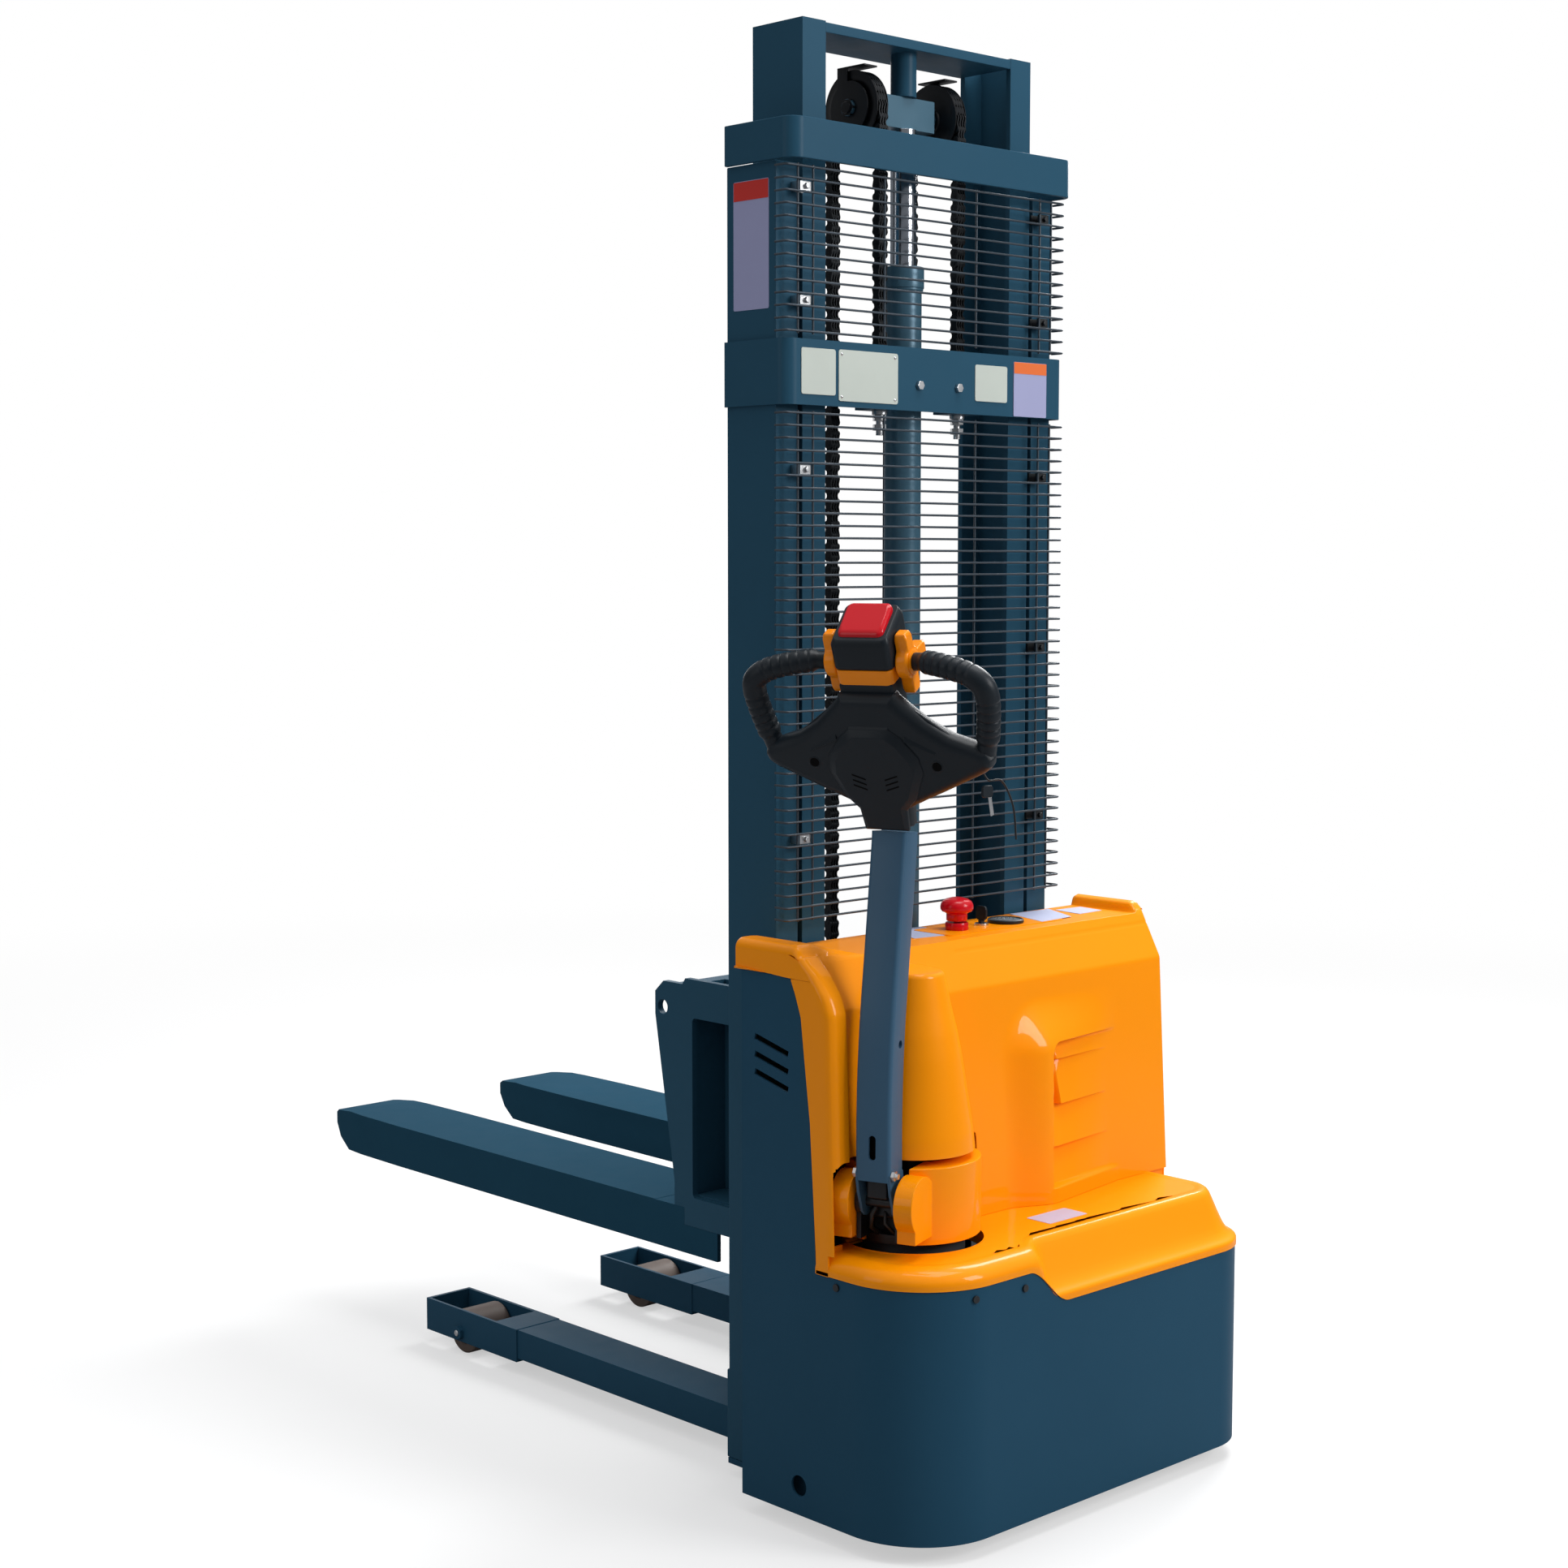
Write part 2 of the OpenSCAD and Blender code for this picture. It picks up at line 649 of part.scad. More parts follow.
// Hose from the pump outlet to the foot of the cylinder
module lift_hose() {
  hose_r = 8;
  hose_x = 60;
  bend_y = -40;
  pump_end = [hose_x, bend_y, 60];
  high_bend = [hose_x, bend_y, 80];
  wall_x = tube_d / 2 + 0.5;
  color([0.05, 0.05, 0.05]) {
    translate(pump_end) rotate([90, 0, 0]) cylinder(h = 27.5, r = hose_r);
    translate(pump_end) sphere(r = hose_r);
    translate(pump_end) cylinder(h = 20, r = hose_r);
    translate(high_bend) sphere(r = hose_r);
    translate(high_bend) rotate([-90, 0, 0]) cylinder(h = cyl_y - bend_y, r = hose_r);
    translate([hose_x, cyl_y, 80]) sphere(r = hose_r);
    xcyl(wall_x, hose_x, cyl_y, 80, hose_r);
  }
}

// ---- inner mast ----
mast_roller_z = [60, 360];  // above the inner mast's lower end
module inner_channel() {
  difference() {
    box([inner_x - inner_flange, 0, inner_bot], [inner_x, inner_d, inner_top]);
    box([inner_x - inner_flange - 1, flange_t, inner_bot - 1],
        [inner_x - mast_t, inner_d - flange_t, inner_top + 1]);
  }
  // roller pins
  for (z = mast_roller_z) xcyl(inner_x - 0.1, inner_x + 46, mast_mid_y, inner_bot + z, 15);
}
module inner_mast_rails() { color(steel) both() union() inner_channel(); }
module inner_mast_ties() {
  tie_x = inner_x - inner_flange;
  post_z = sheave_z + 27;
  color(steel) {
    box([-tie_x, 83, inner_bot + 4], [tie_x, 95, inner_bot + 48]);
    box([-tie_x, 0, inner_top - 18], [tie_x, inner_d, inner_top - 2]);
    // post from the crosshead to the top tie
    translate([0, cyl_y, post_z]) cylinder(h = inner_top - 17.9 - post_z, r = 22);
  }
}
module crosshead() {
  color([0.3, 0.43, 0.53]) union() {
    box([-64, 30, sheave_z - 26], [64, 92, sheave_z + 27]);
    both() xcyl(63.9, 118, sheave_y, sheave_z, 14);
  }
}
module chain_sheaves() {
  color(charcoal) both() translate([sheave_x, sheave_y, sheave_z]) rotate([0, 90, 0])
    difference() {
      union() {
        cylinder(h = 18, r = sheave_r - 6.2, center = true, $fn = 96);
        for (z = [-10.5, 10.5])
          translate([0, 0, z]) cylinder(h = 3, r = sheave_r + 6, center = true, $fn = 96);
      }
      cylinder(h = 60, r = 14.05, center = true, $fn = 64);
    }
}
module sheave_guards() {
  strap_z = sheave_z + 68;
  color(black) both() {
    difference() {
      xcyl(110, 113, sheave_y, sheave_z, 44, 64);
      xcyl(100, 120, sheave_y, sheave_z, 14.03);
    }
    box([110, sheave_y + 4, sheave_z + 20], [113, sheave_y + 28, strap_z]);
    box([82, sheave_y - 36, strap_z - 3], [113, sheave_y + 28, strap_z]);
  }
}

link_pitch = 76;
// Straight chain as a bar with a wider cross block at each pitch
module chain_strand(y, low_z, high_z) {
  links = floor((high_z - low_z) / link_pitch);
  translate([sheave_x - 5, y - 5.5, low_z]) cube([10, 11, high_z - low_z]);
  for (i = [0:links - 1])
    translate([sheave_x - 8, y - 3.5, low_z + (i + 0.5) * link_pitch - 3.5]) cube([16, 7, 7]);
}
module lift_chain_rear() {
  color(black) both() {
    chain_strand(rear_chain_y, 1836.2, sheave_z);
    // half turn over the sheave
    translate([0, sheave_y, sheave_z]) yz_prism(sheave_x - 5, sheave_x + 5) difference() {
      circle(r = sheave_r + 5.5, $fn = 96);
      circle(r = sheave_r - 5.5, $fn = 96);
      translate([-100, -200]) square(200);
    }
  }
}
module lift_chain_front() { color(black) both() chain_strand(front_chain_y, 800, sheave_z - 0.3); }

module ring_roller(x0, x1, y, z, r, bore_r) {
  difference() {
    xcyl(x0, x1, y, z, r, 96);
    xcyl(x0 - 1, x1 + 1, y, z, bore_r);
  }
}
module mast_roller_pair(z) {
  color(roller_grey) both()
    ring_roller(inner_x + 10, inner_x + 46, mast_mid_y, inner_bot + z,
      mast_mid_y - flange_t - 0.3, 15.05);
}
module mast_rollers_low() { mast_roller_pair(mast_roller_z[0]); }
module mast_rollers_high() { mast_roller_pair(mast_roller_z[1]); }

// ---- carriage and forks ----
carriage_roller_z = [474, 756];
// Outline of a carriage side plate: y, z
side_plate = [[128, 397], [128, 831], [272, 831], [280, 820], [330, 820], [352, 800],
  [352, 760], [302, 470], [302, 397]];
module carriage() {
  plate_in = fork_x - 12;
  color(steel) union() {
    both() {
      difference() {
        yz_prism(plate_in, fork_x) polygon(side_plate);
        xcyl(fork_x - 20, fork_x + 10, 332, 774, 13, 48);
        box([fork_x - 20, 276, 300], [fork_x + 10, 310, fork_top - 0.3]);
        yz_prism(fork_x - 20, fork_x + 10) round_rect(140, 448, 254, 764, 8);
      }
      // roller bracket plate between the inner channels, with its roller pins
      box([205, 24, 430], [217, 268, 806]);
      for (z = carriage_roller_z) xcyl(216.9, 262, inner_mid_y, z, 14);
      // gussets out to the side plate
      for (z = [440, 794]) box([216.9, 150, z], [plate_in + 0.1, 268, z + 12]);
      // heel plate down to the fork
      box([fork_x - fork_w, 256, fork_top - 0.3], [plate_in + 0.1, 270, 806]);
    }
    // cross bars, top and bottom
    box([-plate_in, 268, 780], [plate_in, 300, 820]);
    box([-206, 256, 780], [206, 270, 820]);
    box([-plate_in, 268, fork_top + 0.3], [plate_in, 284, 480]);
    box([-206, 240, 440], [206, 270, 480]);
    // shelf that the front chains pull on
    difference() {
      box([-206, 100, 776], [206, 257, 788]);
      both() translate([sheave_x, front_chain_y, 700]) cylinder(h = 200, r = 6.5);
      box([-60, 120, 770], [60, 230, 790]);
    }
    both() translate([sheave_x, front_chain_y, 0]) {
      translate([0, 0, 752]) cylinder(h = 46, r = 6.6);
      translate([0, 0, 762]) cylinder(h = 14.1, r = 11.5, $fn = 6);
    }
  }
}

// Rounding of a fork's end in plan: inset from the side, distance back from the tip
fork_nose = [[0, 270], [3, 130], [12, 44], [26, 10], [48, 0]];
module fork_solid() {
  fork_in = fork_x - fork_w;
  bottom = fork_top - fork_h;
  difference() {
    intersection() {
      translate([0, 0, bottom]) linear_extrude(height = fork_h) union() {
        translate([fork_in, heel]) square([fork_w, fork_len - 260]);
        polygon(concat([for (p = fork_nose) [fork_x - p[0], tip - p[1]]],
          [for (p = reversed(fork_nose)) [fork_in + p[0], tip - p[1]]]));
      }
      // side view, with the tip rising underneath and easing off on top
      yz_prism(fork_in - 5, fork_x + 5) polygon([[heel - 5, bottom - 5], [tip - 78, bottom],
        [tip, bottom + 50], [tip, fork_top - 20], [tip - 30, fork_top - 6],
        [tip - 90, fork_top], [heel - 5, fork_top + 5]]);
    }
    box([fork_in + 8, heel - 5, bottom - 5], [fork_x - 8, tip - 222, fork_top - 7]);
    // heel under the carriage plates, a little below the load face
    box([fork_in - 1, heel - 6, fork_top - 0.5], [fork_x + 1, 354, fork_top + 5]);
    // notch the carriage's side plate stands in
    box([fork_x - 12.3, heel - 6, 396.6], [fork_x + 1, 276.5, fork_top + 5]);
  }
}
module forks() { color(steel) both() union() fork_solid(); }
module carriage_roller_pair(z) {
  color(roller_grey) both()
    ring_roller(227, 262, inner_mid_y, z, inner_mid_y - flange_t - 0.3, 14.05);
}
module carriage_rollers_low() { carriage_roller_pair(carriage_roller_z[0]); }
module carriage_rollers_high() { carriage_roller_pair(carriage_roller_z[1]); }

// ---- drive unit ----
wheel_r = wheel_d / 2;
gearbox_r = 85;
axle_r = 20;
yoke_z = 475;
module steer_bearing() {
  color(zinc) translate([drive_x, drive_y, 0]) difference() {
    union() {
      translate([0, 0, plate_top + 0.2]) cylinder(h = 14, r = 150, $fn = 96);
      translate([0, 0, 318]) cylinder(h = 15, r = 124, $fn = 96);
    }
    translate([0, 0, 300]) cylinder(h = 60, r = gearbox_r + 0.05, $fn = 96);
  }
}
module drive_gearbox() {
  color([0.25, 0.26, 0.27]) at_drive() union() {
    translate([0, 0, 300]) cylinder(h = 17, r = 112, $fn = 96);
    translate([0, 0, 316.9]) cylinder(h = yoke_z - 316.9, r = gearbox_r, $fn = 96);
    // leg beside the wheel, then hub and axle
    difference() {
      box([44, -60, 60], [96, 60, 301]);
      box([60, -90, 50], [110, -45, 250]);
    }
    xcyl(30, 45, 0, wheel_r, 34);
    xcyl(-42, 31, 0, wheel_r, axle_r);
    box([43.9, -40, 250], [60, 40, 301]);
  }
}
module drive_wheel() {
  wheel_x = wheel_w / 2;
  color([0.2, 0.2, 0.21]) at_drive() difference() {
    xcyl(-wheel_x, wheel_x, 0, wheel_r, wheel_r, 128);
    xcyl(-wheel_x - 1, wheel_x + 1, 0, wheel_r, axle_r + 0.05);
    xcyl(12, wheel_x + 1, 0, wheel_r, 62);
    xcyl(-wheel_x - 1, -24, 0, wheel_r, 70);
  }
}
module drive_motor() {
  color([0.15, 0.15, 0.16]) at_drive() {
    translate([0, 0, 490.2]) cylinder(h = 210, r = 44);
    translate([0, 0, 700]) cylinder(h = 50, r1 = 40, r2 = 30);
  }
}
module tiller_yoke() {
  color(black) at_drive() union() {
    translate([0, 0, yoke_z + 0.2]) cylinder(h = 14.8, r = 100, $fn = 96);
    // cheeks on either side of the tiller
    for (x = [-37, 29]) union() {
      box([x, -pivot_back - 16, 489], [x + 8, -70, pivot_z]);
      xcyl(x, x + 8, -pivot_back, pivot_z, 24);
    }
    box([-30, -80, 489], [30, -70, pivot_z - 20]);
    xcyl(-37, 37, -pivot_back, pivot_z, 10);
  }
}
module head_shells() {
  shell_x = 38.5;
  color(orange) at_drive() both() difference() {
    union() {
      intersection() {
        translate([0, 0, 478]) cylinder(h = 122, r = 110, $fn = 96);
        box([shell_x, -120, 470], [120, 130, 610]);
      }
      xcyl(shell_x, 70, -pivot_back, pivot_z, 46);
      box([shell_x, -pivot_back - 30, 492], [70, -70, pivot_z]);
    }
    intersection() {
      translate([0, 0, 490.2]) cylinder(h = 106, r = 104, $fn = 96);
      box([30, -74, 470], [130, 130, 596]);
    }
    translate([0, 0, 470]) cylinder(h = 20.2, r = 100.5, $fn = 96);
    translate([0, 0, 590]) cylinder(h = 20, r = 60, $fn = 96);
  }
}

// ---- tiller ----
// Centre line of the arm: distance behind the steering axis, height
arm_line = [[130, 600], [131, 700], [121, 820], [104, 930], [86, 1045], [74, 1131]];
function arm_outline(half, lift) = concat(
  [for (p = arm_line) [-(p[0] + half), p[1] + lift]],
  [for (p = reversed(arm_line)) [-(p[0] - half), p[1] + lift]]);
module tiller_arm() {
  arm_x = 27.5;
  hollow_x = 23.5;
  color([0.2, 0.34, 0.44]) at_drive() difference() {
    union() {
      yz_prism(-arm_x, arm_x) polygon(arm_outline(25, 0));
      yz_prism(-arm_x, arm_x) polygon([[-pivot_back + 22, pivot_z], [-pivot_back + 22, 602],
        [-155, 602], [-155, 586], [-pivot_back - 24, pivot_z]]);
      xcyl(-arm_x, arm_x, -pivot_back, pivot_z, 24);
    }
    yz_prism(-hollow_x, hollow_x) polygon(arm_outline(21, 4));
    yz_prism(-hollow_x, hollow_x) polygon([[-78, pivot_z - 40], [-78, 600], [-151, 604.5],
      [-151, 590], [-148, 500]]);
    xcyl(-30, 30, -pivot_back, pivot_z, 10.05);
    // slot on the operator's face, hole in the side
    box([-6, -170, 622], [6, -145, 660]);
    xcyl(15, 30, -118, 800, 7);
  }
}

// Round bar between two points
module bar(start, end, r) {
  run = end - start;
  length = norm(run);
  translate(start) rotate([0, acos(run[2] / length), atan2(run[1], run[0])])
    cylinder(h = length, r = r);
}
// Right half of the head body's outline, from the neck up: x, z
head_side = [[34, 12], [38, 42], [128, 82], [178, 112], [182, 132], [120, 150], [66, 180],
  [46, 210]];
// Thumb buttons for lift, lower and horn: x, z
thumb = [[-96, 128], [-72, 150], [84, 138]];
module tiller_head() {
  bar_r = grip_r - 1;
  shoulder = [grip_x - 40, 8, grip_z + 27];
  corner = [grip_x, 0, grip_z];
  color(black) at_head() {
    difference() {
      union() {
        rotate([90, 0, 0]) translate([0, 0, -20]) linear_extrude(height = 44)
          polygon(concat(head_side, [for (p = reversed(head_side)) [-p[0], p[1]]]));
        // neck and switch box
        box([-43, -6, 195], [43, 42, 256]);
        box([-48, -4, 254], [48, 74, 326]);
        // throttle shaft and grip loop
        both() {
          xcyl(47, 77, shaft_y, shaft_z, 9);
          bar([76, shaft_y, shaft_z], shoulder, bar_r);
          translate(shoulder) sphere(r = bar_r);
          bar(shoulder, corner, bar_r);
          translate(corner) sphere(r = grip_r);
          bar(corner, [174, 0, 124], bar_r);
        }
      }
      box([-40, 6, 264], [40, 64, 327]);
      for (p = thumb) ycyl(14, 26, p[0], p[1], 9.05);
    }
  }
}
module throttle_butterfly() {
  color(orange) at_head() both() difference() {
    union() {
      xcyl(50, 70, shaft_y, shaft_z, 24);
      // three wings around the hub
      for (a = [0, 180, 270])
        translate([50, shaft_y, shaft_z]) rotate([a, 0, 0])
          translate([0, -10, 10]) cube([20, 20, 38]);
    }
    xcyl(40, 80, shaft_y, shaft_z, 9.05);
  }
}
module belly_button() {
  color([0.75, 0.05, 0.08]) at_head() yz_prism(-39, 39)
    polygon([[7, 300], [63, 300], [63, 350], [52, 356], [10, 334], [7, 330]]);
}
module thumb_button(p) { at_head() ycyl(17.5, 25, p[0], p[1], 9); }
module lift_button() { color(button_black) thumb_button(thumb[0]); }
module lower_button() { color(button_black) thumb_button(thumb[1]); }
module horn_button() { color([0.9, 0.5, 0.05]) thumb_button(thumb[2]); }

// ---- castor ----
castor_trail = -35;
castor_r = 75;
module castor_fork() {
  color([0.3, 0.31, 0.32]) translate([castor_x, castor_y, 0]) {
    translate([0, 0, 160]) cylinder(h = 70, r = 10.95);
    translate([0, 0, 170]) cylinder(h = 40, r = 42);
    // cheeks, each cut by a slanting block
    for (x = [-34, 28]) difference() {
      box([x, -62, 60], [x + 6, 30, 176]);
      translate([x - 1, -70, 50]) rotate([18, 0, 0]) translate([0, -60, -20]) cube([8, 50, 220]);
    }
    box([-34, -30, 162], [34, 30, 172]);
    xcyl(-34, 34, castor_trail, castor_r, 8);
  }
}
module castor_wheel() {
  color([0.25, 0.25, 0.25]) translate([castor_x, castor_y, 0]) difference() {
    xcyl(-22, 22, castor_trail, castor_r, castor_r, 96);
    xcyl(-30, 30, castor_trail, castor_r, 8.05);
    for (x = [-30, 14]) xcyl(x, x + 16, castor_trail, castor_r, 50);
  }
}

place() chassis_frame();
place() support_legs();
place() outer_mast_rails();
place() mast_top_beam();
place() mast_mid_beam();
place() mast_pads();
place() lift_cylinder();
place() chain_anchors();
place() guard_upper();
place() guard_lower();
place() guard_clips();
place() base_cover();
place() side_panels();
place() upper_cover();
place() deck_cover();
place() fasteners();
place() dash_panel();
place() stop_base();
place() stop_button();
place() key_switch();
place() ignition_key();
place() charge_gauge();
place() batteries();
place() battery_tray();
place() pump_motor();
place() oil_tank();
place() valve_block();
place() controller();
place() charger();
place() lift_hose();
place() steer_bearing();
place() inner_mast_rails();
place() inner_mast_ties();
place() lift_rod();
place() crosshead();
place() sheave_guards();
place() lift_chain_rear();
place() lift_chain_front();
place() chain_sheaves();
place() mast_rollers_low();
place() mast_rollers_high();
place() carriage();
place() forks();
place() carriage_rollers_low();
place() carriage_rollers_high();
place() drive_gearbox();
place() drive_motor();
place() tiller_yoke();
place() head_shells();
place() drive_wheel();
place() tiller_arm();
place() tiller_head();
place() throttle_butterfly();
place() belly_button();
place() lift_button();
place() lower_button();
place() horn_button();
place() castor_fork();
place() castor_wheel();
place() load_rollers();
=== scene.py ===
# A pedestrian pallet stacker. The CAD pieces get their finishes, and the moulded covers,
# dash, tiller, mesh guards, sheaves and chains are built in detail.
# Lengths are in millimetres in the mast frame: the origin is on the floor, midway between
# the outer mast rails and at their rear. +X is right, +Y is forward along the forks, +Z is
# up. The deck, the drive and the operator are on the -Y side.
import math

import bmesh
import bpy
import numpy as np
from mathutils import Matrix, Vector


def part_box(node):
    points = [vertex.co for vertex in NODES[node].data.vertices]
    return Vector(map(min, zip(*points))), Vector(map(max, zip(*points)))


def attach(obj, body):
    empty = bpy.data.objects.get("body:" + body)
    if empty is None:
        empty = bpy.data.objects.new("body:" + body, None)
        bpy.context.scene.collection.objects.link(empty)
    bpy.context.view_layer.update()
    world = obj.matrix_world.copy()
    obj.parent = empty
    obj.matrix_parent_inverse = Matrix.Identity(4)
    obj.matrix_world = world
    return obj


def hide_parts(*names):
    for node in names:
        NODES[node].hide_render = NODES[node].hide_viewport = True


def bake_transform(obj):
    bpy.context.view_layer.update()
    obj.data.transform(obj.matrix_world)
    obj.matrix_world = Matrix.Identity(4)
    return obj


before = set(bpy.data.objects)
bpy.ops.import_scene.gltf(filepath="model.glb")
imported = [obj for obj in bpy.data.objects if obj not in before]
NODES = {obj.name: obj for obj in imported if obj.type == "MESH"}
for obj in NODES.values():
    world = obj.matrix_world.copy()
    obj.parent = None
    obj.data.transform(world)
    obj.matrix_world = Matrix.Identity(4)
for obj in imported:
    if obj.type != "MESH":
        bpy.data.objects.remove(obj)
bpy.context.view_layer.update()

SIDES = ((-1, "left"), (1, "right"))

# ---------------------------------------------------------------- frames
rails_low, rails_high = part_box("outer_mast_rails")
MAST_X = (rails_low.x + rails_high.x) / 2
MAST_Y = rails_low.y
DRIVE_X, DRIVE_Y = -240.0, -220.0  # steering axis
STEER = math.radians(-70)  # turn of the drive about the steering axis
HEAD_Y, HEAD_Z = -74, 1131  # origin of the tiller head in the drive frame
LEAN = math.radians(25)  # tilt of the tiller head


def to_row(x, y, z):
    """Mast frame in mm to the row frame in metres."""
    return Vector((MAST_X + x / 1000, MAST_Y + y / 1000, z / 1000))


def mast_point(x, y, z):
    return (x, y, z)


def drive_point(x, y, z):
    """Steered drive frame to the mast frame."""
    cos, sin = math.cos(STEER), math.sin(STEER)
    return (DRIVE_X + x * cos - y * sin, DRIVE_Y + x * sin + y * cos, z)


def head_point(x, y, z):
    """Tiller head frame to the mast frame."""
    cos, sin = math.cos(LEAN), math.sin(LEAN)
    return drive_point(x, HEAD_Y + y * cos - z * sin, HEAD_Z + y * sin + z * cos)


def shifted(origin):
    """Placing function for a frame moved to origin."""
    return lambda x, y, z: (origin[0] + x, origin[1] + y, origin[2] + z)


# ---------------------------------------------------------------- materials
MAT = {}


def add_node(tree, kind, inputs=None, **settings):
    node = tree.nodes.new(kind)
    for key, value in settings.items():
        setattr(node, key, value)
    for key, value in (inputs or {}).items():
        node.inputs[key].default_value = value
    return node


def srgb(code):
    """Hex colour code to linear RGB."""
    values = [int(code[i:i + 2], 16) / 255 for i in (0, 2, 4)]
    return tuple(c / 12.92 if c <= 0.04045 else ((c + 0.055) / 1.055) ** 2.4 for c in values)


def surface(name, color, rough=0.4, metal=0.0, coat=0.0, coat_rough=0.1, peel=0.0, grain=0.0,
            bump_scale=300, var=0.04, var_scale=6, spec=0.5, stretch=1):
    """Principled finish with mottled colour (var), uneven roughness and a noise bump.

    peel is the strength of a shallow bump, grain that of a deeper one.
    """
    mat = bpy.data.materials.new(name)
    MAT[name] = mat
    mat.use_nodes = True
    tree = mat.node_tree
    link_nodes = tree.links.new
    shader = tree.nodes["Principled BSDF"]
    shader.inputs["Metallic"].default_value = metal
    shader.inputs["Specular IOR Level"].default_value = spec
    shader.inputs["Coat Weight"].default_value = coat
    shader.inputs["Coat Roughness"].default_value = coat_rough
    coords = add_node(tree, "ShaderNodeTexCoord")
    mapping = add_node(tree, "ShaderNodeMapping", {"Scale": (1, 1, stretch)})
    link_nodes(coords.outputs["Object"], mapping.inputs["Vector"])

    mottle = add_node(tree, "ShaderNodeTexNoise",
                      {"Scale": var_scale, "Detail": 6, "Roughness": 0.6})
    link_nodes(mapping.outputs["Vector"], mottle.inputs["Vector"])
    spread = var * 2.2
    tint = add_node(tree, "ShaderNodeMix", {
        6: tuple(c * (1 - spread) for c in color) + (1,),
        7: tuple(min(1, c * (1 + spread)) for c in color) + (1,),
    }, data_type="RGBA")
    link_nodes(mottle.outputs["Fac"], tint.inputs[0])
    link_nodes(tint.outputs[2], shader.inputs["Base Color"])

    rough_range = add_node(tree, "ShaderNodeMapRange", {
        "To Min": max(0.02, rough - 0.05), "To Max": min(1, rough + 0.07)})
    smudge = add_node(tree, "ShaderNodeTexNoise", {"Scale": 25, "Detail": 5})
    link_nodes(mapping.outputs["Vector"], smudge.inputs["Vector"])
    link_nodes(smudge.outputs["Fac"], rough_range.inputs["Value"])
    link_nodes(rough_range.outputs["Result"], shader.inputs["Roughness"])

    if peel or grain:
        bump = add_node(tree, "ShaderNodeBump", {
            "Strength": peel or grain, "Distance": 0.0004 if peel else 0.0008})
        texture = add_node(tree, "ShaderNodeTexNoise", {"Scale": bump_scale, "Detail": 2})
        link_nodes(coords.outputs["Object"], texture.inputs["Vector"])
        link_nodes(texture.outputs["Fac"], bump.inputs["Height"])
        link_nodes(bump.outputs["Normal"], shader.inputs["Normal"])


surface("frame_paint", (0.0175, 0.068, 0.118), rough=0.36, peel=0.08, bump_scale=420,
        spec=0.05, var=0.03)
surface("fork_paint", (0.0150, 0.060, 0.100), rough=0.55, peel=0.08, bump_scale=420, spec=0.008)
surface("mast_paint", (0.0205, 0.075, 0.124), rough=0.36, peel=0.08, bump_scale=420,
        spec=0.08, var=0.03)
surface("cylinder_paint", (0.055, 0.135, 0.195), rough=0.30, peel=0.06, metal=0.2, spec=0.4)
surface("cover_orange", (1.0, 0.305, 0.0), coat=0.32, coat_rough=0.05, var=0.010,
        var_scale=3, spec=0.06)
surface("tiller_paint", (0.040, 0.105, 0.178), rough=0.36, peel=0.08, spec=0.3, var=0.03)
surface("black_plastic", (0.0070, 0.0120, 0.0170), grain=0.14, bump_scale=900, var=0.05,
        spec=0.26)
surface("black_steel", (0.005, 0.006, 0.008), rough=0.36, peel=0.1, var=0.05, spec=0.4)
surface("guard_wire", srgb("3a444d"), rough=0.42, metal=0.4, var=0.05)
surface("zinc", (0.62, 0.63, 0.64), rough=0.30, metal=1.0, var=0.08, var_scale=40)
surface("rod_chrome", (0.68, 0.72, 0.78), rough=0.14, metal=1.0, var=0.02)
surface("chain_steel", srgb("1d2023"), rough=0.34, metal=0.7, var=0.1, var_scale=60)
surface("roller_steel", (0.42, 0.42, 0.42), rough=0.32, metal=1.0, var=0.05)
surface("polyurethane", srgb("5f5149"), rough=0.55, grain=0.1, bump_scale=500, var=0.06)
surface("tyre_rubber", srgb("1c1c1d"), rough=0.62, grain=0.25, bump_scale=400, var=0.08)
surface("red_plastic", (0.56, 0.0, 0.008), rough=0.34, coat=0.4, coat_rough=0.06, var=0.02,
        spec=0.15)
surface("battery_case", srgb("1d1e20"), rough=0.5, grain=0.2, bump_scale=700, var=0.05)
surface("cast_grey", srgb("34373a"), rough=0.55, grain=0.5, bump_scale=260, var=0.08)
surface("nylon", srgb("d9d8d0"), rough=0.45, var=0.03)
surface("aluminium", (0.55, 0.56, 0.58), rough=0.38, metal=1.0, var=0.05, stretch=0.05)
surface("hose_rubber", srgb("141414"), rough=0.5, grain=0.1, var=0.05)
surface("horn_orange", srgb("f07a00"), rough=0.3, coat=0.4, var=0.02)
surface("butterfly_orange", (0.95, 0.27, 0.0), rough=0.36, coat=0.35, coat_rough=0.12,
        var=0.015, spec=0.12)
surface("label_pale", srgb("b4bad6"), var=0.02)
surface("plate_alu", srgb("bcc4bc"), rough=0.42)
surface("dial_white", srgb("e8e8e2"), var=0.02)
# near-black stand-in for the shade inside holes, slits and recesses: painted shade
surface("painted_shade_black", (0.0015, 0.0016, 0.0018), rough=0.8, var=0.05, spec=0.1)
surface("label_lilac", srgb("9c9fc4"), var=0.02)
surface("label_red", srgb("c8281e"), var=0.02)
surface("label_orange", srgb("e06a28"), var=0.02)
surface("orange_trim", srgb("a2540c"), rough=0.42, var=0.05)


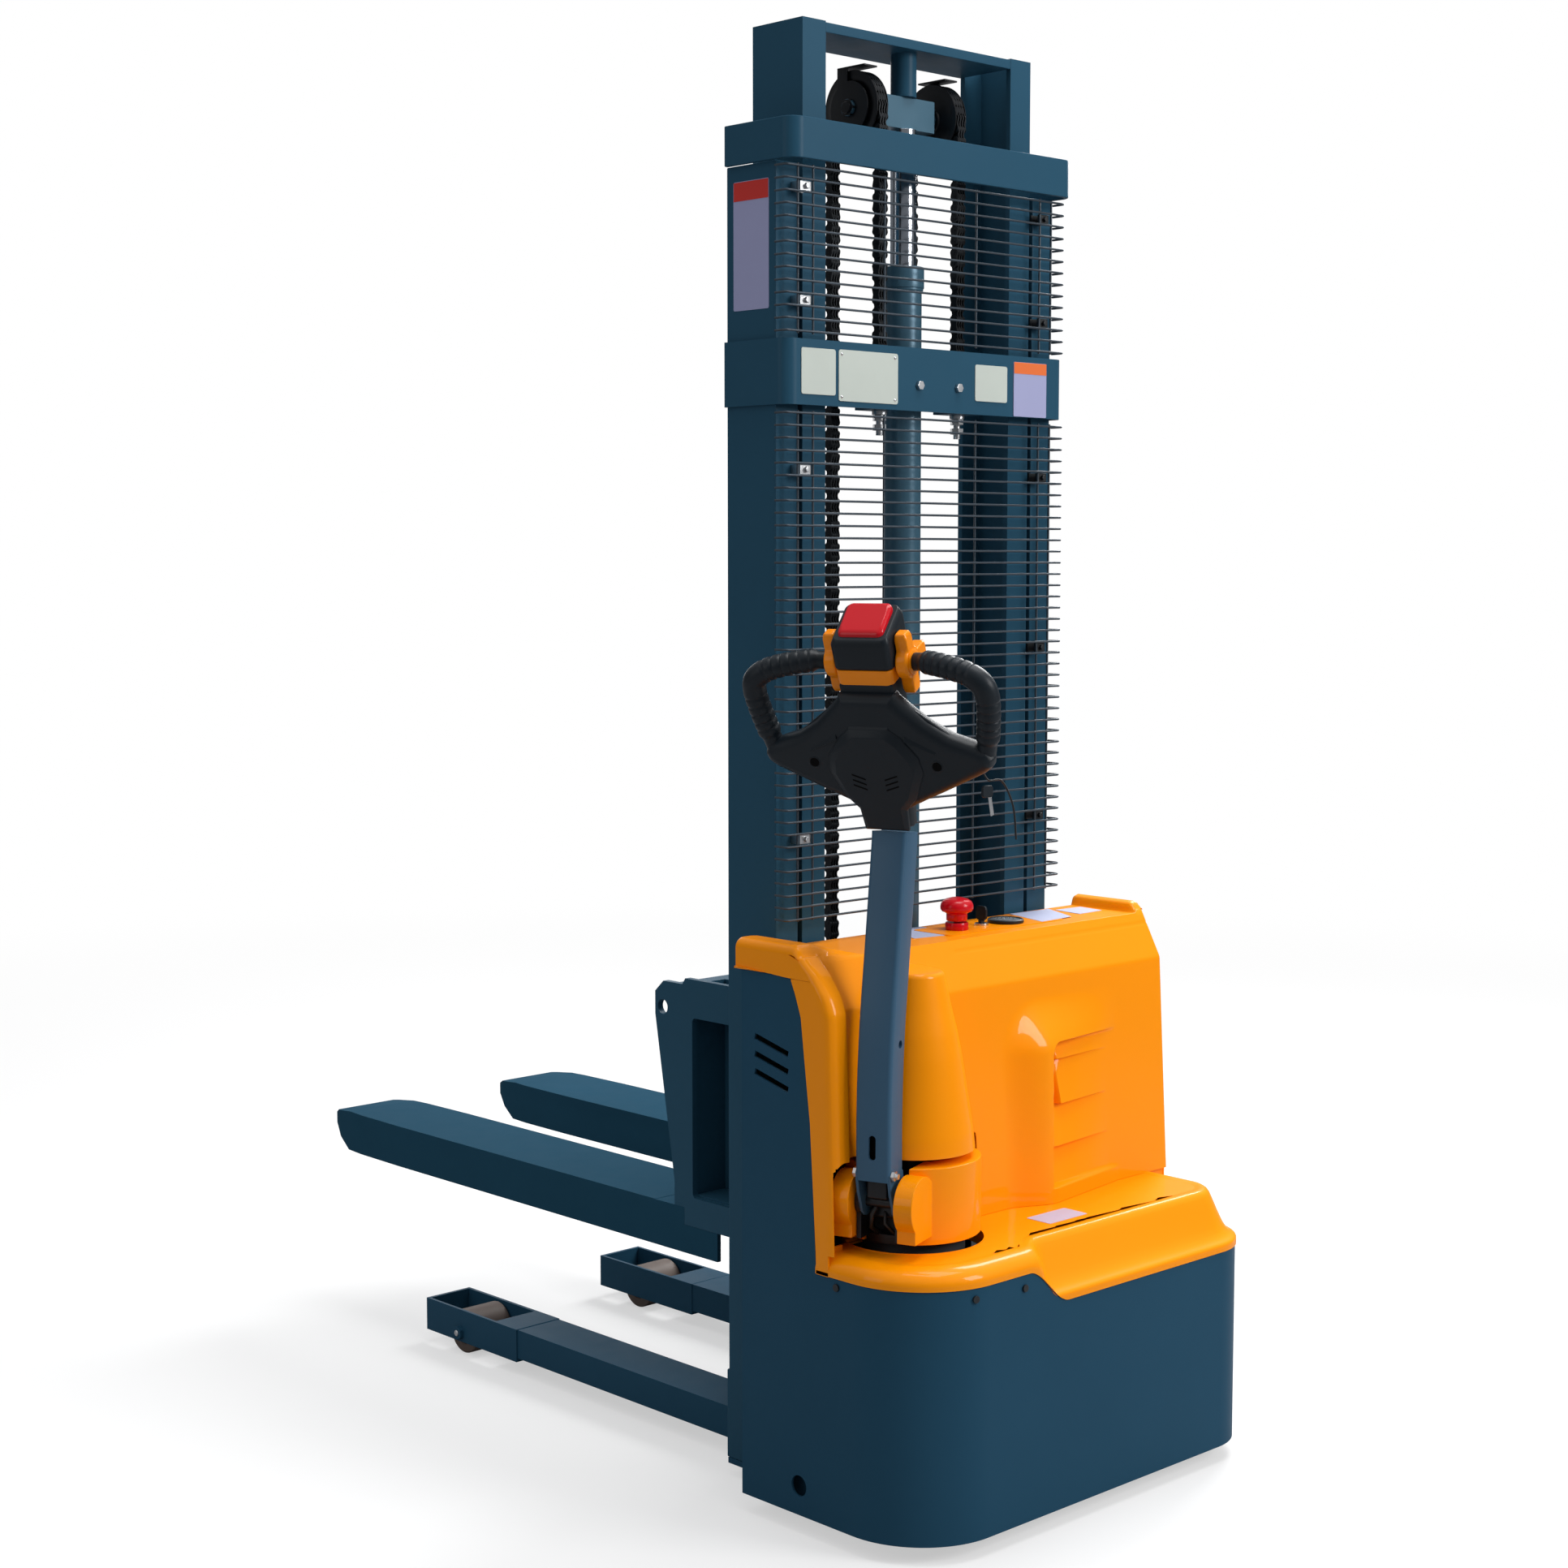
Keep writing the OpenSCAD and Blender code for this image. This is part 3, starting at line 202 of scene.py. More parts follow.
def half_zinc(name, axis, operation, limit):
    """Zinc where the position in metres passes the limit, near-black elsewhere."""
    mat = MAT["zinc"].copy()
    mat.name = name
    MAT[name] = mat
    tree = mat.node_tree
    zinc = tree.nodes["Principled BSDF"]
    position = add_node(tree, "ShaderNodeNewGeometry")
    split = add_node(tree, "ShaderNodeSeparateXYZ")
    tree.links.new(position.outputs["Position"], split.inputs[0])
    test = add_node(tree, "ShaderNodeMath", {1: limit}, operation=operation)
    tree.links.new(split.outputs[axis], test.inputs[0])
    dark = add_node(tree, "ShaderNodeBsdfPrincipled",
                    {"Base Color": (0.006, 0.008, 0.010, 1), "Roughness": 0.4})
    mix = add_node(tree, "ShaderNodeMixShader")
    output = [node for node in tree.nodes if node.type == "OUTPUT_MATERIAL"][0]
    tree.links.new(test.outputs[0], mix.inputs[0])
    tree.links.new(dark.outputs[0], mix.inputs[1])
    tree.links.new(zinc.outputs[0], mix.inputs[2])
    tree.links.new(mix.outputs[0], output.inputs["Surface"])


half_zinc("screws", "Z", "GREATER_THAN", 1.0)
half_zinc("clips", "X", "LESS_THAN", MAST_X)


def clear_glass():
    mat = bpy.data.materials.new("clear_glass")
    MAT["clear_glass"] = mat
    mat.use_nodes = True
    inputs = mat.node_tree.nodes["Principled BSDF"].inputs
    inputs["Base Color"].default_value = (0.9, 0.95, 1, 1)
    inputs["Roughness"].default_value = 0.03
    inputs["Transmission Weight"].default_value = 0.9
    inputs["IOR"].default_value = 1.45


clear_glass()


# ---------------------------------------------------------------- modifiers
def smooth_by_angle_group():
    """Node group that shades faces smooth and keeps edges above an angle sharp."""
    group = bpy.data.node_groups.new("smooth_angle", "GeometryNodeTree")
    sockets = group.interface
    sockets.new_socket("Geometry", in_out="INPUT", socket_type="NodeSocketGeometry")
    angle = sockets.new_socket("Angle", in_out="INPUT", socket_type="NodeSocketFloat")
    angle.default_value = 0.6
    sockets.new_socket("Geometry", in_out="OUTPUT", socket_type="NodeSocketGeometry")
    source = add_node(group, "NodeGroupInput")
    result = add_node(group, "NodeGroupOutput")
    smooth = add_node(group, "GeometryNodeSetShadeSmooth", {"Shade Smooth": True},
                      domain="FACE")
    sharp = add_node(group, "GeometryNodeSetShadeSmooth", {"Shade Smooth": False},
                     domain="EDGE")
    edge_angle = add_node(group, "GeometryNodeInputMeshEdgeAngle")
    compare = add_node(group, "FunctionNodeCompare", data_type="FLOAT",
                       operation="GREATER_THAN")
    group.links.new(source.outputs[0], smooth.inputs["Geometry"])
    group.links.new(smooth.outputs[0], sharp.inputs["Geometry"])
    group.links.new(edge_angle.outputs[0], compare.inputs[0])
    group.links.new(source.outputs[1], compare.inputs[1])
    group.links.new(compare.outputs[0], sharp.inputs["Selection"])
    group.links.new(sharp.outputs[0], result.inputs[0])
    return group


SMOOTH = smooth_by_angle_group()


def edge_modifiers(ob, bevel, segments=2, smooth_deg=35):
    """Rounds the edges (bevel in mm) and smooths the shading."""
    if bevel:
        rounding = ob.modifiers.new("bevel", "BEVEL")
        rounding.width = bevel / 1000
        rounding.segments = segments
        rounding.limit_method = "ANGLE"
        rounding.angle_limit = math.radians(32)
        rounding.use_clamp_overlap = True
        rounding.miter_outer = "MITER_ARC"
    smooth = ob.modifiers.new("smooth", "NODES")
    smooth.node_group = SMOOTH
    smooth["Socket_1"] = math.radians(smooth_deg)
    if bevel:
        normals = ob.modifiers.new("wn", "WEIGHTED_NORMAL")
        normals.keep_sharp = True
        normals.weight = 60


# ---------------------------------------------------------------- CAD pieces kept
def finish_cad(name, finish, bevel, segments, flat_deg=1.2):
    ob = NODES[name]
    ob.data.materials.clear()
    ob.data.materials.append(MAT[finish])
    weld = ob.modifiers.new("weld", "WELD")
    weld.merge_threshold = 2e-5
    # a dissolved face must not close an open box, so the legs keep their triangles
    if name != "support_legs":
        dissolve = ob.modifiers.new("diss", "DECIMATE")
        dissolve.decimate_type = "DISSOLVE"
        dissolve.angle_limit = math.radians(flat_deg)
    edge_modifiers(ob, bevel, segments)


# name, finish, bevel
CAD_PIECES = [
    ("chassis_frame", "frame_paint", 1.5), ("support_legs", "frame_paint", 1.6),
    ("outer_mast_rails", "mast_paint", 2.2), ("mast_top_beam", "mast_paint", 1.8),
    ("mast_mid_beam", "mast_paint", 1.5), ("mast_pads", "nylon", 1.0),
    ("lift_cylinder", "cylinder_paint", 1.5), ("chain_anchors", "zinc", 0.8),
    ("guard_clips", "clips", 0.8), ("base_cover", "frame_paint", 0),
    ("side_panels", "frame_paint", 0), ("key_switch", "zinc", 0.6),
    ("batteries", "battery_case", 4), ("battery_tray", "frame_paint", 1.2),
    ("pump_motor", "black_steel", 2.5), ("oil_tank", "black_plastic", 6),
    ("valve_block", "aluminium", 1.2), ("controller", "aluminium", 1.0),
    ("charger", "cast_grey", 3), ("lift_hose", "hose_rubber", 0),
    ("steer_bearing", "zinc", 1.0), ("inner_mast_rails", "mast_paint", 2.0),
    ("inner_mast_ties", "mast_paint", 1.5), ("lift_rod", "rod_chrome", 1.0),
    ("crosshead", "cylinder_paint", 3.0), ("mast_rollers_low", "roller_steel", 1.5),
    ("mast_rollers_high", "roller_steel", 1.5), ("carriage", "mast_paint", 2.0),
    ("forks", "fork_paint", 3.0), ("carriage_rollers_low", "roller_steel", 1.5),
    ("carriage_rollers_high", "roller_steel", 1.5), ("drive_gearbox", "cast_grey", 2.5),
    ("drive_motor", "black_steel", 2.5), ("tiller_yoke", "black_steel", 2.0),
    ("drive_wheel", "tyre_rubber", 3.0), ("castor_fork", "cast_grey", 1.5),
    ("castor_wheel", "tyre_rubber", 4.0), ("load_rollers", "polyurethane", 4.0),
    ("lift_button", "black_plastic", 1.5), ("lower_button", "black_plastic", 1.5),
    ("horn_button", "horn_orange", 1.5), ("fasteners", "screws", 0.7),
    ("sheave_guards", "black_steel", 0.8),
]
for cad_name, cad_finish, cad_bevel in CAD_PIECES:
    finish_cad(cad_name, cad_finish, cad_bevel, segments=3 if cad_bevel > 2.5 else 2)
finish_cad("head_shells", "cover_orange", 4.5, segments=4, flat_deg=1.0)

# ---------------------------------------------------------------- outlines and curves
# A turn rounded up: the half-turn point falls just below the axis
NEAR_TURN = 6.2832


def clamp(value):
    return min(max(value, 0), 1)


def smoothstep(value):
    value = clamp(value)
    return value * value * (3 - 2 * value)


def lookup(value, table):
    """Linear table, ascending in its first column."""
    return np.interp(value, *zip(*table))


def angles(count, turn=math.tau):
    return [turn * k / count for k in range(count)]


def circle(count, radius, x=0, y=0, turn=math.tau):
    return [(x + radius * math.cos(a), y + radius * math.sin(a)) for a in angles(count, turn)]


def rounded_rect(x0, y0, x1, y1, radius, steps=6):
    corners = ((x1 - radius, y1 - radius, 0), (x0 + radius, y1 - radius, 90),
               (x0 + radius, y0 + radius, 180), (x1 - radius, y0 + radius, 270))
    points = []
    for x, y, start in corners:
        for k in range(steps + 1):
            angle = math.radians(start + 90 * k / steps)
            points.append((x + radius * math.cos(angle), y + radius * math.sin(angle)))
    return points


def mirrored(right_half):
    """Closed outline from its right half, starting at the lower left corner."""
    left_half = [(-x, z) for x, z in right_half[::-1]]
    return [left_half[-1]] + right_half + left_half[:-1]


def level(outline, z, slope=0, hinge=0):
    """Outline raised to z, or to a plane that rises in y and passes z at y = hinge."""
    return [(x, y, z + (y - hinge) * slope) for x, y in outline]


def fillet(points, radius, steps):
    """Rounds the corners of a polyline."""
    points = [Vector(p) for p in points]
    result = [points[0]]
    for before, corner, after in zip(points, points[1:], points[2:]):
        back, ahead = before - corner, after - corner
        cut = min(radius, back.length * 0.45, ahead.length * 0.45)
        start = corner + back.normalized() * cut
        end = corner + ahead.normalized() * cut
        for k in range(steps + 1):
            t = k / steps
            result.append(start * (1 - t) ** 2 + corner * 2 * t * (1 - t) + end * t * t)
    return result + [points[-1]]


def spline(points, steps):
    """Catmull-Rom curve through the points."""
    points = [Vector(p) for p in points]
    last = len(points) - 1
    result = []
    for i in range(last):
        p0, p1, p2, p3 = points[max(i - 1, 0)], points[i], points[i + 1], points[min(i + 2, last)]
        for k in range(steps):
            t = k / steps
            result.append(0.5 * ((2 * p1) + (p2 - p0) * t
                                 + (2 * p0 - 5 * p1 + 4 * p2 - p3) * t * t
                                 + (3 * p1 - p0 - 3 * p2 + p3) * t ** 3))
    return [tuple(p) for p in result + [points[-1]]]


# ---------------------------------------------------------------- mesh building
class Shape:
    """Collects the parts of one mesh."""

    def __init__(self):
        self.verts, self.faces = [], []

    def add(self, verts, faces):
        offset = len(self.verts)
        self.verts += verts
        self.faces += [tuple(i + offset for i in face) for face in faces]
        return self

    def grid(self, rows, wrap_rows=False, wrap_columns=False):
        """Quads between rows of points of equal length."""
        height, width = len(rows), len(rows[0])
        faces = []
        for i in range(height if wrap_rows else height - 1):
            for j in range(width if wrap_columns else width - 1):
                near, far = i * width, (i + 1) % height * width
                after = (j + 1) % width
                faces.append((near + j, far + j, far + after, near + after))
        return self.add([point for row in rows for point in row], faces)

    def loft(self, loops, start=1):
        """Skin over closed loops. start is 1 for a cap, -1 for a reversed one, 0 for none."""
        offset, width = len(self.verts), len(loops[0])
        self.grid(loops, wrap_columns=True)
        if start:
            self.faces.append(tuple(range(offset, offset + width))[::start])
        end = offset + (len(loops) - 1) * width
        self.faces.append(tuple(range(end, end + width)))
        return self

    def tube(self, points, radius, sides=10, closed=False):
        """Round tube along the points. radius is one value or one per point."""
        path = [Vector(p) for p in points]
        count = len(path)
        tangents = []
        for i in range(count):
            before = path[(i - 1) % count] if closed or i > 0 else path[0]
            after = path[(i + 1) % count] if closed or i < count - 1 else path[-1]
            tangents.append((after - before).normalized())
        first = tangents[0]
        normal = Vector((0, 0, 1)) if abs(first.z) < 0.9 else Vector((1, 0, 0))
        normal = (normal - first * normal.dot(first)).normalized()
        radii = radius if isinstance(radius, list) else [radius] * count
        loops = []
        for point, tangent, size in zip(path, tangents, radii):
            normal = (normal - tangent * normal.dot(tangent)).normalized()
            side = tangent.cross(normal)
            loops.append([tuple(point + (normal * math.cos(a) + side * math.sin(a)) * size)
                          for a in angles(sides)])
        if closed:
            return self.grid(loops, wrap_rows=True, wrap_columns=True)
        return self.loft(loops)

    def box(self, low, high):
        x0, y0, z0 = low
        x1, y1, z1 = high
        verts = [(x0, y0, z0), (x1, y0, z0), (x1, y1, z0), (x0, y1, z0),
                 (x0, y0, z1), (x1, y0, z1), (x1, y1, z1), (x0, y1, z1)]
        return self.add(verts, [(0, 3, 2, 1), (4, 5, 6, 7), (0, 1, 5, 4), (1, 2, 6, 5),
                                (2, 3, 7, 6), (3, 0, 4, 7)])

    def prism(self, outline, start, end, plane="xy"):
        """Outline in the named plane, carried from start to end along the third axis."""
        count = len(outline)
        verts = []
        for h in (start, end):
            for a, b in outline:
                verts.append({"xy": (a, b, h), "yz": (h, a, b), "xz": (a, h, b)}[plane])
        faces = [tuple(range(count))[::-1], tuple(range(count, 2 * count))]
        for i in range(count):
            after = (i + 1) % count
            faces.append((i, after, count + after, count + i))
        return self.add(verts, faces)

    def lathe(self, profile, centre=(0, 0, 0), axis="z", steps=48):
        """Turns a profile of (radius, height along the axis) about the axis."""
        rows = []
        for angle in angles(steps):
            row = []
            for radius, height in profile:
                a, b = radius * math.cos(angle), radius * math.sin(angle)
                x, y, z = {"x": (height, a, b), "y": (a, height, b), "z": (a, b, height)}[axis]
                row.append((x + centre[0], y + centre[1], z + centre[2]))
            rows.append(row)
        return self.grid(rows, wrap_rows=True)


def link(ob):
    bpy.context.scene.collection.objects.link(ob)
    return ob


def build(name, shape, finish, body="chassis", slot=None, place=mast_point, bevel=0.0,
          segments=2, smooth_deg=35, wall=0.0, replaces=None, merge=2e-6, face_up=False):
    """wall is the thickness given to an open skin, in mm. merge is in metres.
    """
    mesh = bpy.data.meshes.new(name)
    mesh.from_pydata([to_row(*place(*v)) for v in shape.verts], [], shape.faces)
    bm = bmesh.new()
    bm.from_mesh(mesh)
    bmesh.ops.remove_doubles(bm, verts=bm.verts, dist=merge)
    bmesh.ops.dissolve_degenerate(bm, dist=1e-7, edges=bm.edges)
    bmesh.ops.recalc_face_normals(bm, faces=bm.faces)
    if face_up and sum(face.normal.z for face in bm.faces) < 0:
        bmesh.ops.reverse_faces(bm, faces=bm.faces)
    bm.to_mesh(mesh)
    bm.free()
    ob = link(bpy.data.objects.new(name, mesh))
    mesh.materials.append(MAT[finish])
    if wall:
        solid = ob.modifiers.new("solid", "SOLIDIFY")
        solid.thickness = wall / 1000
        solid.offset = -1
    edge_modifiers(ob, bevel, segments, smooth_deg)
    if body:
        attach(ob, body)
    if replaces:
        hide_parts(replaces)
    return ob


def build_plate(name, outline, holes, z, thickness, replaces=None):
    """Flat orange plate below z, with holes, filled as a 2D curve."""
    curve = bpy.data.curves.new(name + "_c", "CURVE")
    curve.dimensions = "2D"
    curve.fill_mode = "BOTH"
    for points in [outline] + holes:
        loop = curve.splines.new("POLY")
        loop.points.add(len(points) - 1)
        for target, (x, y) in zip(loop.points, points):
            target.co = (x, y, 0, 1)
        loop.use_cyclic_u = True
    ob = link(bpy.data.objects.new(name + "_c", curve))
    depsgraph = bpy.context.evaluated_depsgraph_get()
    filled = bpy.data.meshes.new_from_object(ob.evaluated_get(depsgraph))
    shape = Shape().add([(v.co.x, v.co.y, z) for v in filled.vertices],
                        [tuple(p.vertices) for p in filled.polygons])
    bpy.data.objects.remove(ob)
    bpy.data.curves.remove(curve)
    bpy.data.meshes.remove(filled)
    build(name, shape, "cover_orange", wall=thickness, face_up=True, replaces=replaces)


def carve(ob, shape, place):
    """Subtracts a closed shape from ob's own mesh, before its modifiers."""
    mesh = bpy.data.meshes.new("cutter")
    mesh.from_pydata([to_row(*place(*v)) for v in shape.verts], [], shape.faces)
    bm = bmesh.new()
    bm.from_mesh(mesh)
    bmesh.ops.recalc_face_normals(bm, faces=bm.faces)
    bm.to_mesh(mesh)
    bm.free()
    cutter = link(bpy.data.objects.new("cutter", mesh))
    copy = link(bpy.data.objects.new("tmp_carve", ob.data.copy()))
    boolean = copy.modifiers.new("b", "BOOLEAN")
    boolean.operation = "DIFFERENCE"
    boolean.solver = "EXACT"
    boolean.object = cutter
    depsgraph = bpy.context.evaluated_depsgraph_get()
    carved = bpy.data.meshes.new_from_object(copy.evaluated_get(depsgraph))
    carved.name = ob.data.name
    old = ob.data
    ob.data = carved
    bpy.data.objects.remove(cutter)
    bpy.data.objects.remove(copy)
    bpy.data.meshes.remove(mesh)
    bpy.data.meshes.remove(old)


# ---------------------------------------------------------------- upper cover
COVER_X = 428  # half width of the covers
TOP_Z = 921
# Rear wall, and the strip that stands out at its left edge: (z, y)
WALL = [(466, -216), (845, -195), (900, -165.5), (926, -152), (960, -134)]
STRIP = [(466, -234), (700, -226.5), (845, -220.5), (872, -210), (905, -184), (930, -155),
         (960, -130)]
WALL_SOFTNESS, STRIP_SOFTNESS = 3.5, 5  # half height over which their bends are averaged
WALL_ROUND, STRIP_ROUND = 9, 16  # edge radii at the right and left ends
# Front edge of the lower end faces: (z, y)
END_FRONT = [(432, -191), (466, -190), (671, -176.5), (760, -165), (836, -155.5),
             (870, -143), (892, -133)]
# Dome over the drive: (z, radius)
DOME = [(600, 100), (614, 100), (640, 97.5), (764, 78), (800, 71), (840, 61), (880, 52),
        (893, 49), (897, 45)]
# Slats of the inset panel: (top z, bottom z, left end x)
SLATS = [(703, 627, 115), (627, 557, 92), (557, 488, 74)]

# Columns of the wall: (x, share of the dome radius added to x)
DOME_SHARES = [-1.10, -1.07, -1.045, -1.025, -1.01, -1.0, -0.99, -0.975, -0.95, -0.92, -0.88,
               -0.83, -0.77, -0.7, -0.62, -0.53, -0.43, -0.32, -0.2, -0.07]
LEFT_X = [-428, -427.6, -426.5, -424.5, -423.9, -421, -418, -415, -412, -409, -406, -403, -400,
          -396, -392.5, -390, -388, -385, -380, -372, -362]
RIGHT_X = [
    -124, -112, -100, -92, -86, -82, -79, -77, -76, -75.9, -70, -60, -48, -36, -24,
    *range(-14, 72, 4), *np.arange(72, 124, 2.0), *range(126, 300, 5),
    306, 320, 340, 360, 380, 395, 402, 403.5, 405, 407, 410, 414, 418, 421, 423.5, 425.5,
    427, 428]
COLUMNS = [(x, 0) for x in LEFT_X]
COLUMNS += [(DRIVE_X, share) for share in DOME_SHARES + [-s for s in DOME_SHARES[::-1]]]
COLUMNS += [(x, 0) for x in RIGHT_X]

# Heights of the wall's rows, with the dome and above it
DOME_ROWS = [
    466, 470, 476, 479, 481, 483, 485, 487, 488.5, 489.5, 491, 493, 496, 500,
    *range(506, 552, 6), 553, 555.5, 556.5, 557.5, 559.5, 563, *range(569, 611, 6),
    611.9, 614, 617, 620, 623.5, 626.2, 627.8, 630, *range(635, 700, 5),
    701.5, 702.6, 703.6, 705, 707, 710, 713, 716, 719, 722, 725, 727.5, 730, 732, 734, 736,
    738.5, 742, *range(746, 812, 5), 815, 822, 829, 835, 840, 843, 845, 847, 850, 855, 861,
    868, 875, 881, 886, 890, 893, 895.5, 897]
GROOVE_Z = 903
RIM_ROWS = [897.6, 900, GROOVE_Z, 906, 910, 915]
# Depths of the top surface's rows, from the rear edge to the front
TOP_ROWS = [-152.5, -150, -146, -141, -134, -120, -100, -80, -60, -40, -24, -12, -6, -4.2, -4]


def softened(table, z, softness):
    return np.mean([lookup(z + d, table) for d in np.linspace(-softness, softness, 9)])


def round_off(past, radius):
    """Drop of a rounded edge at a distance past its start."""
    past = max(0, past)
    return radius - math.sqrt(max(0.0, radius ** 2 - past ** 2))


def bulge(x, z):
    """How far the moulded bulge stands out of the rear wall, with its slatted panel."""
    radius, left, top = 95.0, -8.0, 812.0
    corner_x, corner_z = left + radius, top - radius
    if x < corner_x and z > corner_z:
        inward = radius - math.hypot(x - corner_x, z - corner_z)
    else:
        inward = min(x - left, top - z)
    height = 31 * smoothstep(inward / 92) * clamp((290 - x) / 200)

    panel_top, panel_bottom, panel_radius = 736, 490, 26.0
    from_left = x - (80 + (z - 500) * 0.05)
    from_top = panel_top - z
    if from_left < panel_radius and from_top < panel_radius:
        inside = panel_radius - math.hypot(panel_radius - from_left, panel_radius - from_top)
    else:
        inside = min(from_left, from_top, z - panel_bottom)
    inside = smoothstep(inside / 5.0)

    fade = clamp((262 - x) / 150)
    slat = 0.0
    for slat_top, slat_bottom, start in SLATS:
        if slat_bottom < z <= slat_top:
            drop = (slat_top - z) / (slat_top - slat_bottom)
            curl = 18 * clamp((z - slat_top + 26) / 26) ** 2
            slat = (3.0 + 15.0 * drop) * smoothstep((x - start - curl) / 7) * fade
    slope_bottom = SLATS[0][0]
    if slope_bottom < z < panel_top:
        drop = (panel_top - z) / (panel_top - slope_bottom)
        slat = 13.0 * drop * smoothstep((x - 112) / 8) * fade
    return height - height * inside + slat * inside


def lip(x):
    """Rise of the top surface at its two ends."""
    left = 25 * (1 - smoothstep((x + 398) / 112.0)) - round_off(-414 - x, 14)
    right = 16 * smoothstep((x - 402) / 7.0) + 3 * clamp((x - 409) / 12)
    return left + right - round_off(x - 420, 8)


def top_height(x, y):
    return TOP_Z + lip(x) * (0.30 + 0.70 * smoothstep((y + 152) / 16.0))


def cover_point(x, share, z, with_dome):
    """Point of the rear wall, and whether the drive opening cuts it away."""
    radius = lookup(z, DOME)
    x = x + share * radius
    cut = False
    if -424.2 < x < -75.95:
        lintel = 612.0 - round_off(-402 - x, 22) - round_off(x + 90, 14)
        cut = z < lintel - 0.01
        if cut:
            z = lintel
    strip = smoothstep((-385 - x) / 7.0)
    y = (softened(WALL, z, WALL_SOFTNESS) * (1 - strip)
         + softened(STRIP, z, STRIP_SOFTNESS) * strip)
    y += round_off(-412 - x, STRIP_ROUND) + round_off(x - 419, WALL_ROUND)
    if share and with_dome:
        reach = abs(share)
        if reach < 1:
            y = min(y, DRIVE_Y - radius * math.sqrt(1 - reach ** 2))
        elif DRIVE_Y < y:
            y += (DRIVE_Y - y) * (1 - smoothstep((reach - 1) / 0.1))
    if z == GROOVE_Z and x > -84:
        y += 1.0
    return (x, y - bulge(x, z), z), cut


def cover_wall(shape):
    rows = DOME_ROWS + RIM_ROWS + [None]
    cut = []
    for x, share in COLUMNS:
        for j, z in enumerate(rows):
            if z is None:  # the last row follows the lip
                z = TOP_Z + 0.24 * lip(x)
            point, is_cut = cover_point(x, share, z, j < len(DOME_ROWS))
            shape.verts.append(point)
            cut.append(is_cut)
    for i in range(len(COLUMNS) - 1):
        for j in range(len(rows) - 1):
            a = i * len(rows) + j
            b = a + len(rows)
            if cut[a + 1] or cut[b + 1]:
                continue
            # faces across the two upright edges of the opening stay out
            left = min(shape.verts[a][0], shape.verts[b][0])
            if cut[a] != cut[b] and not -424.2 <= left <= -76.05:
                continue
            shape.faces.append((a, b, b + 1, a + 1))
    return len(rows)


def cover_top(shape, wall_rows):
    start, depth_count = len(shape.verts), len(TOP_ROWS)
    for i, (x, share) in enumerate(COLUMNS):
        x = x + share * lookup(TOP_Z, DOME)
        edge_y, edge_z = shape.verts[(i + 1) * wall_rows - 1][1:]
        depths = [edge_y + 1.5] + TOP_ROWS[1:]
        heights = [top_height(x, y) for y in TOP_ROWS]
        heights[0] = edge_z + (heights[0] - edge_z) * 0.6 + 0.4
        heights[-2] -= 1.5
        heights[-1] -= 30
        shape.verts += [(x, y, z) for y, z in zip(depths, heights)]
    for i in range(len(COLUMNS) - 1):
        edge = (i + 1) * wall_rows - 1
        first = start + i * depth_count
        shape.faces.append((edge, edge + wall_rows, first + depth_count, first))
        for a in range(first, first + depth_count - 1):
            b = a + depth_count
            shape.faces.append((a, b, b + 1, a + 1))


def cover_end(shape, x, table, softness, edge_round):
    """End face: below, and above the side panel's upper edge."""
    def depths(front, z):
        rear = softened(table, max(z, 466), softness) + edge_round
        return [front + (rear - front) * (k / 6) for k in range(7)]

    heights = [432.6, 450] + [z for z in DOME_ROWS if z <= 891] + [894]
    shape.grid([[(x, y, z) for y in depths(lookup(z, END_FRONT), z)] for z in heights])

    panel_edge = 894.5
    band = [[(x, y, panel_edge + 6.0 * clamp((y + 130) / 114.0))
             for y in depths(-4.0, panel_edge)]]
    band += [[(x, y, z) for y in depths(-4.0, z)] for z in (897, 900, 905, 910, 915, 920)]
    band.append([(x, y, top_height(x, y)) for _, y, _ in band[-1]])
    shape.grid(band)


def upper_cover():
    shape = Shape()
    wall_rows = cover_wall(shape)
    cover_top(shape, wall_rows)
    cover_end(shape, -COVER_X, STRIP, STRIP_SOFTNESS, STRIP_ROUND)
    cover_end(shape, COVER_X, WALL, WALL_SOFTNESS, WALL_ROUND)
    build("upper_cover_skin", shape, "cover_orange", smooth_deg=38, wall=3.0, merge=6e-5,
          replaces="upper_cover")


upper_cover()

# painted shade: near-black walls inside the drive opening, and near-black sheets behind them that
# close the view into the body
shade_wall_path = [(-424, -196), (-424, -104), (-410, -100), (-92, -100), (-76, -112), (-76, -196)]
shape = Shape().grid([[(x, y, 467), (x, y, 612)] for x, y in shade_wall_path])
build("recess_shade_walls", shape, "painted_shade_black", wall=2)
shape = Shape().box((-424, -99.5, 300), (-60, -97, 612))
shape.box((-423, -200, 436), (-420.5, -98, 611))
build("recess_shade_back", shape, "painted_shade_black", bevel=0.5)

# orange ring under the dome, and the roof of the opening
lip_outer = circle(64, 99, DRIVE_X, DRIVE_Y)
lip_inner = circle(64, 62, DRIVE_X, DRIVE_Y)
shape = Shape().grid([level(lip_outer, 613.5), level(lip_inner, 613.5), level(lip_inner, 622)],
                     wrap_columns=True)
build("dome_lip", shape, "cover_orange", wall=2, smooth_deg=40)
shape = Shape().prism([(-424, -203), (-424, -100), (-76, -100), (-76, -203), (-150, -203),
                       (-160, -203), (-320, -203)], 612.5, 614.5)
build("recess_roof", shape, "cover_orange")

# ---------------------------------------------------------------- deck cover
DECK_Y = 423.0  # distance of the rear edge
DECK_LEFT_RADIUS, DECK_RIGHT_RADIUS = 152.0, 112.0
DECK_FLOOR_Z = 465.5
PROFILE_POINTS = 44
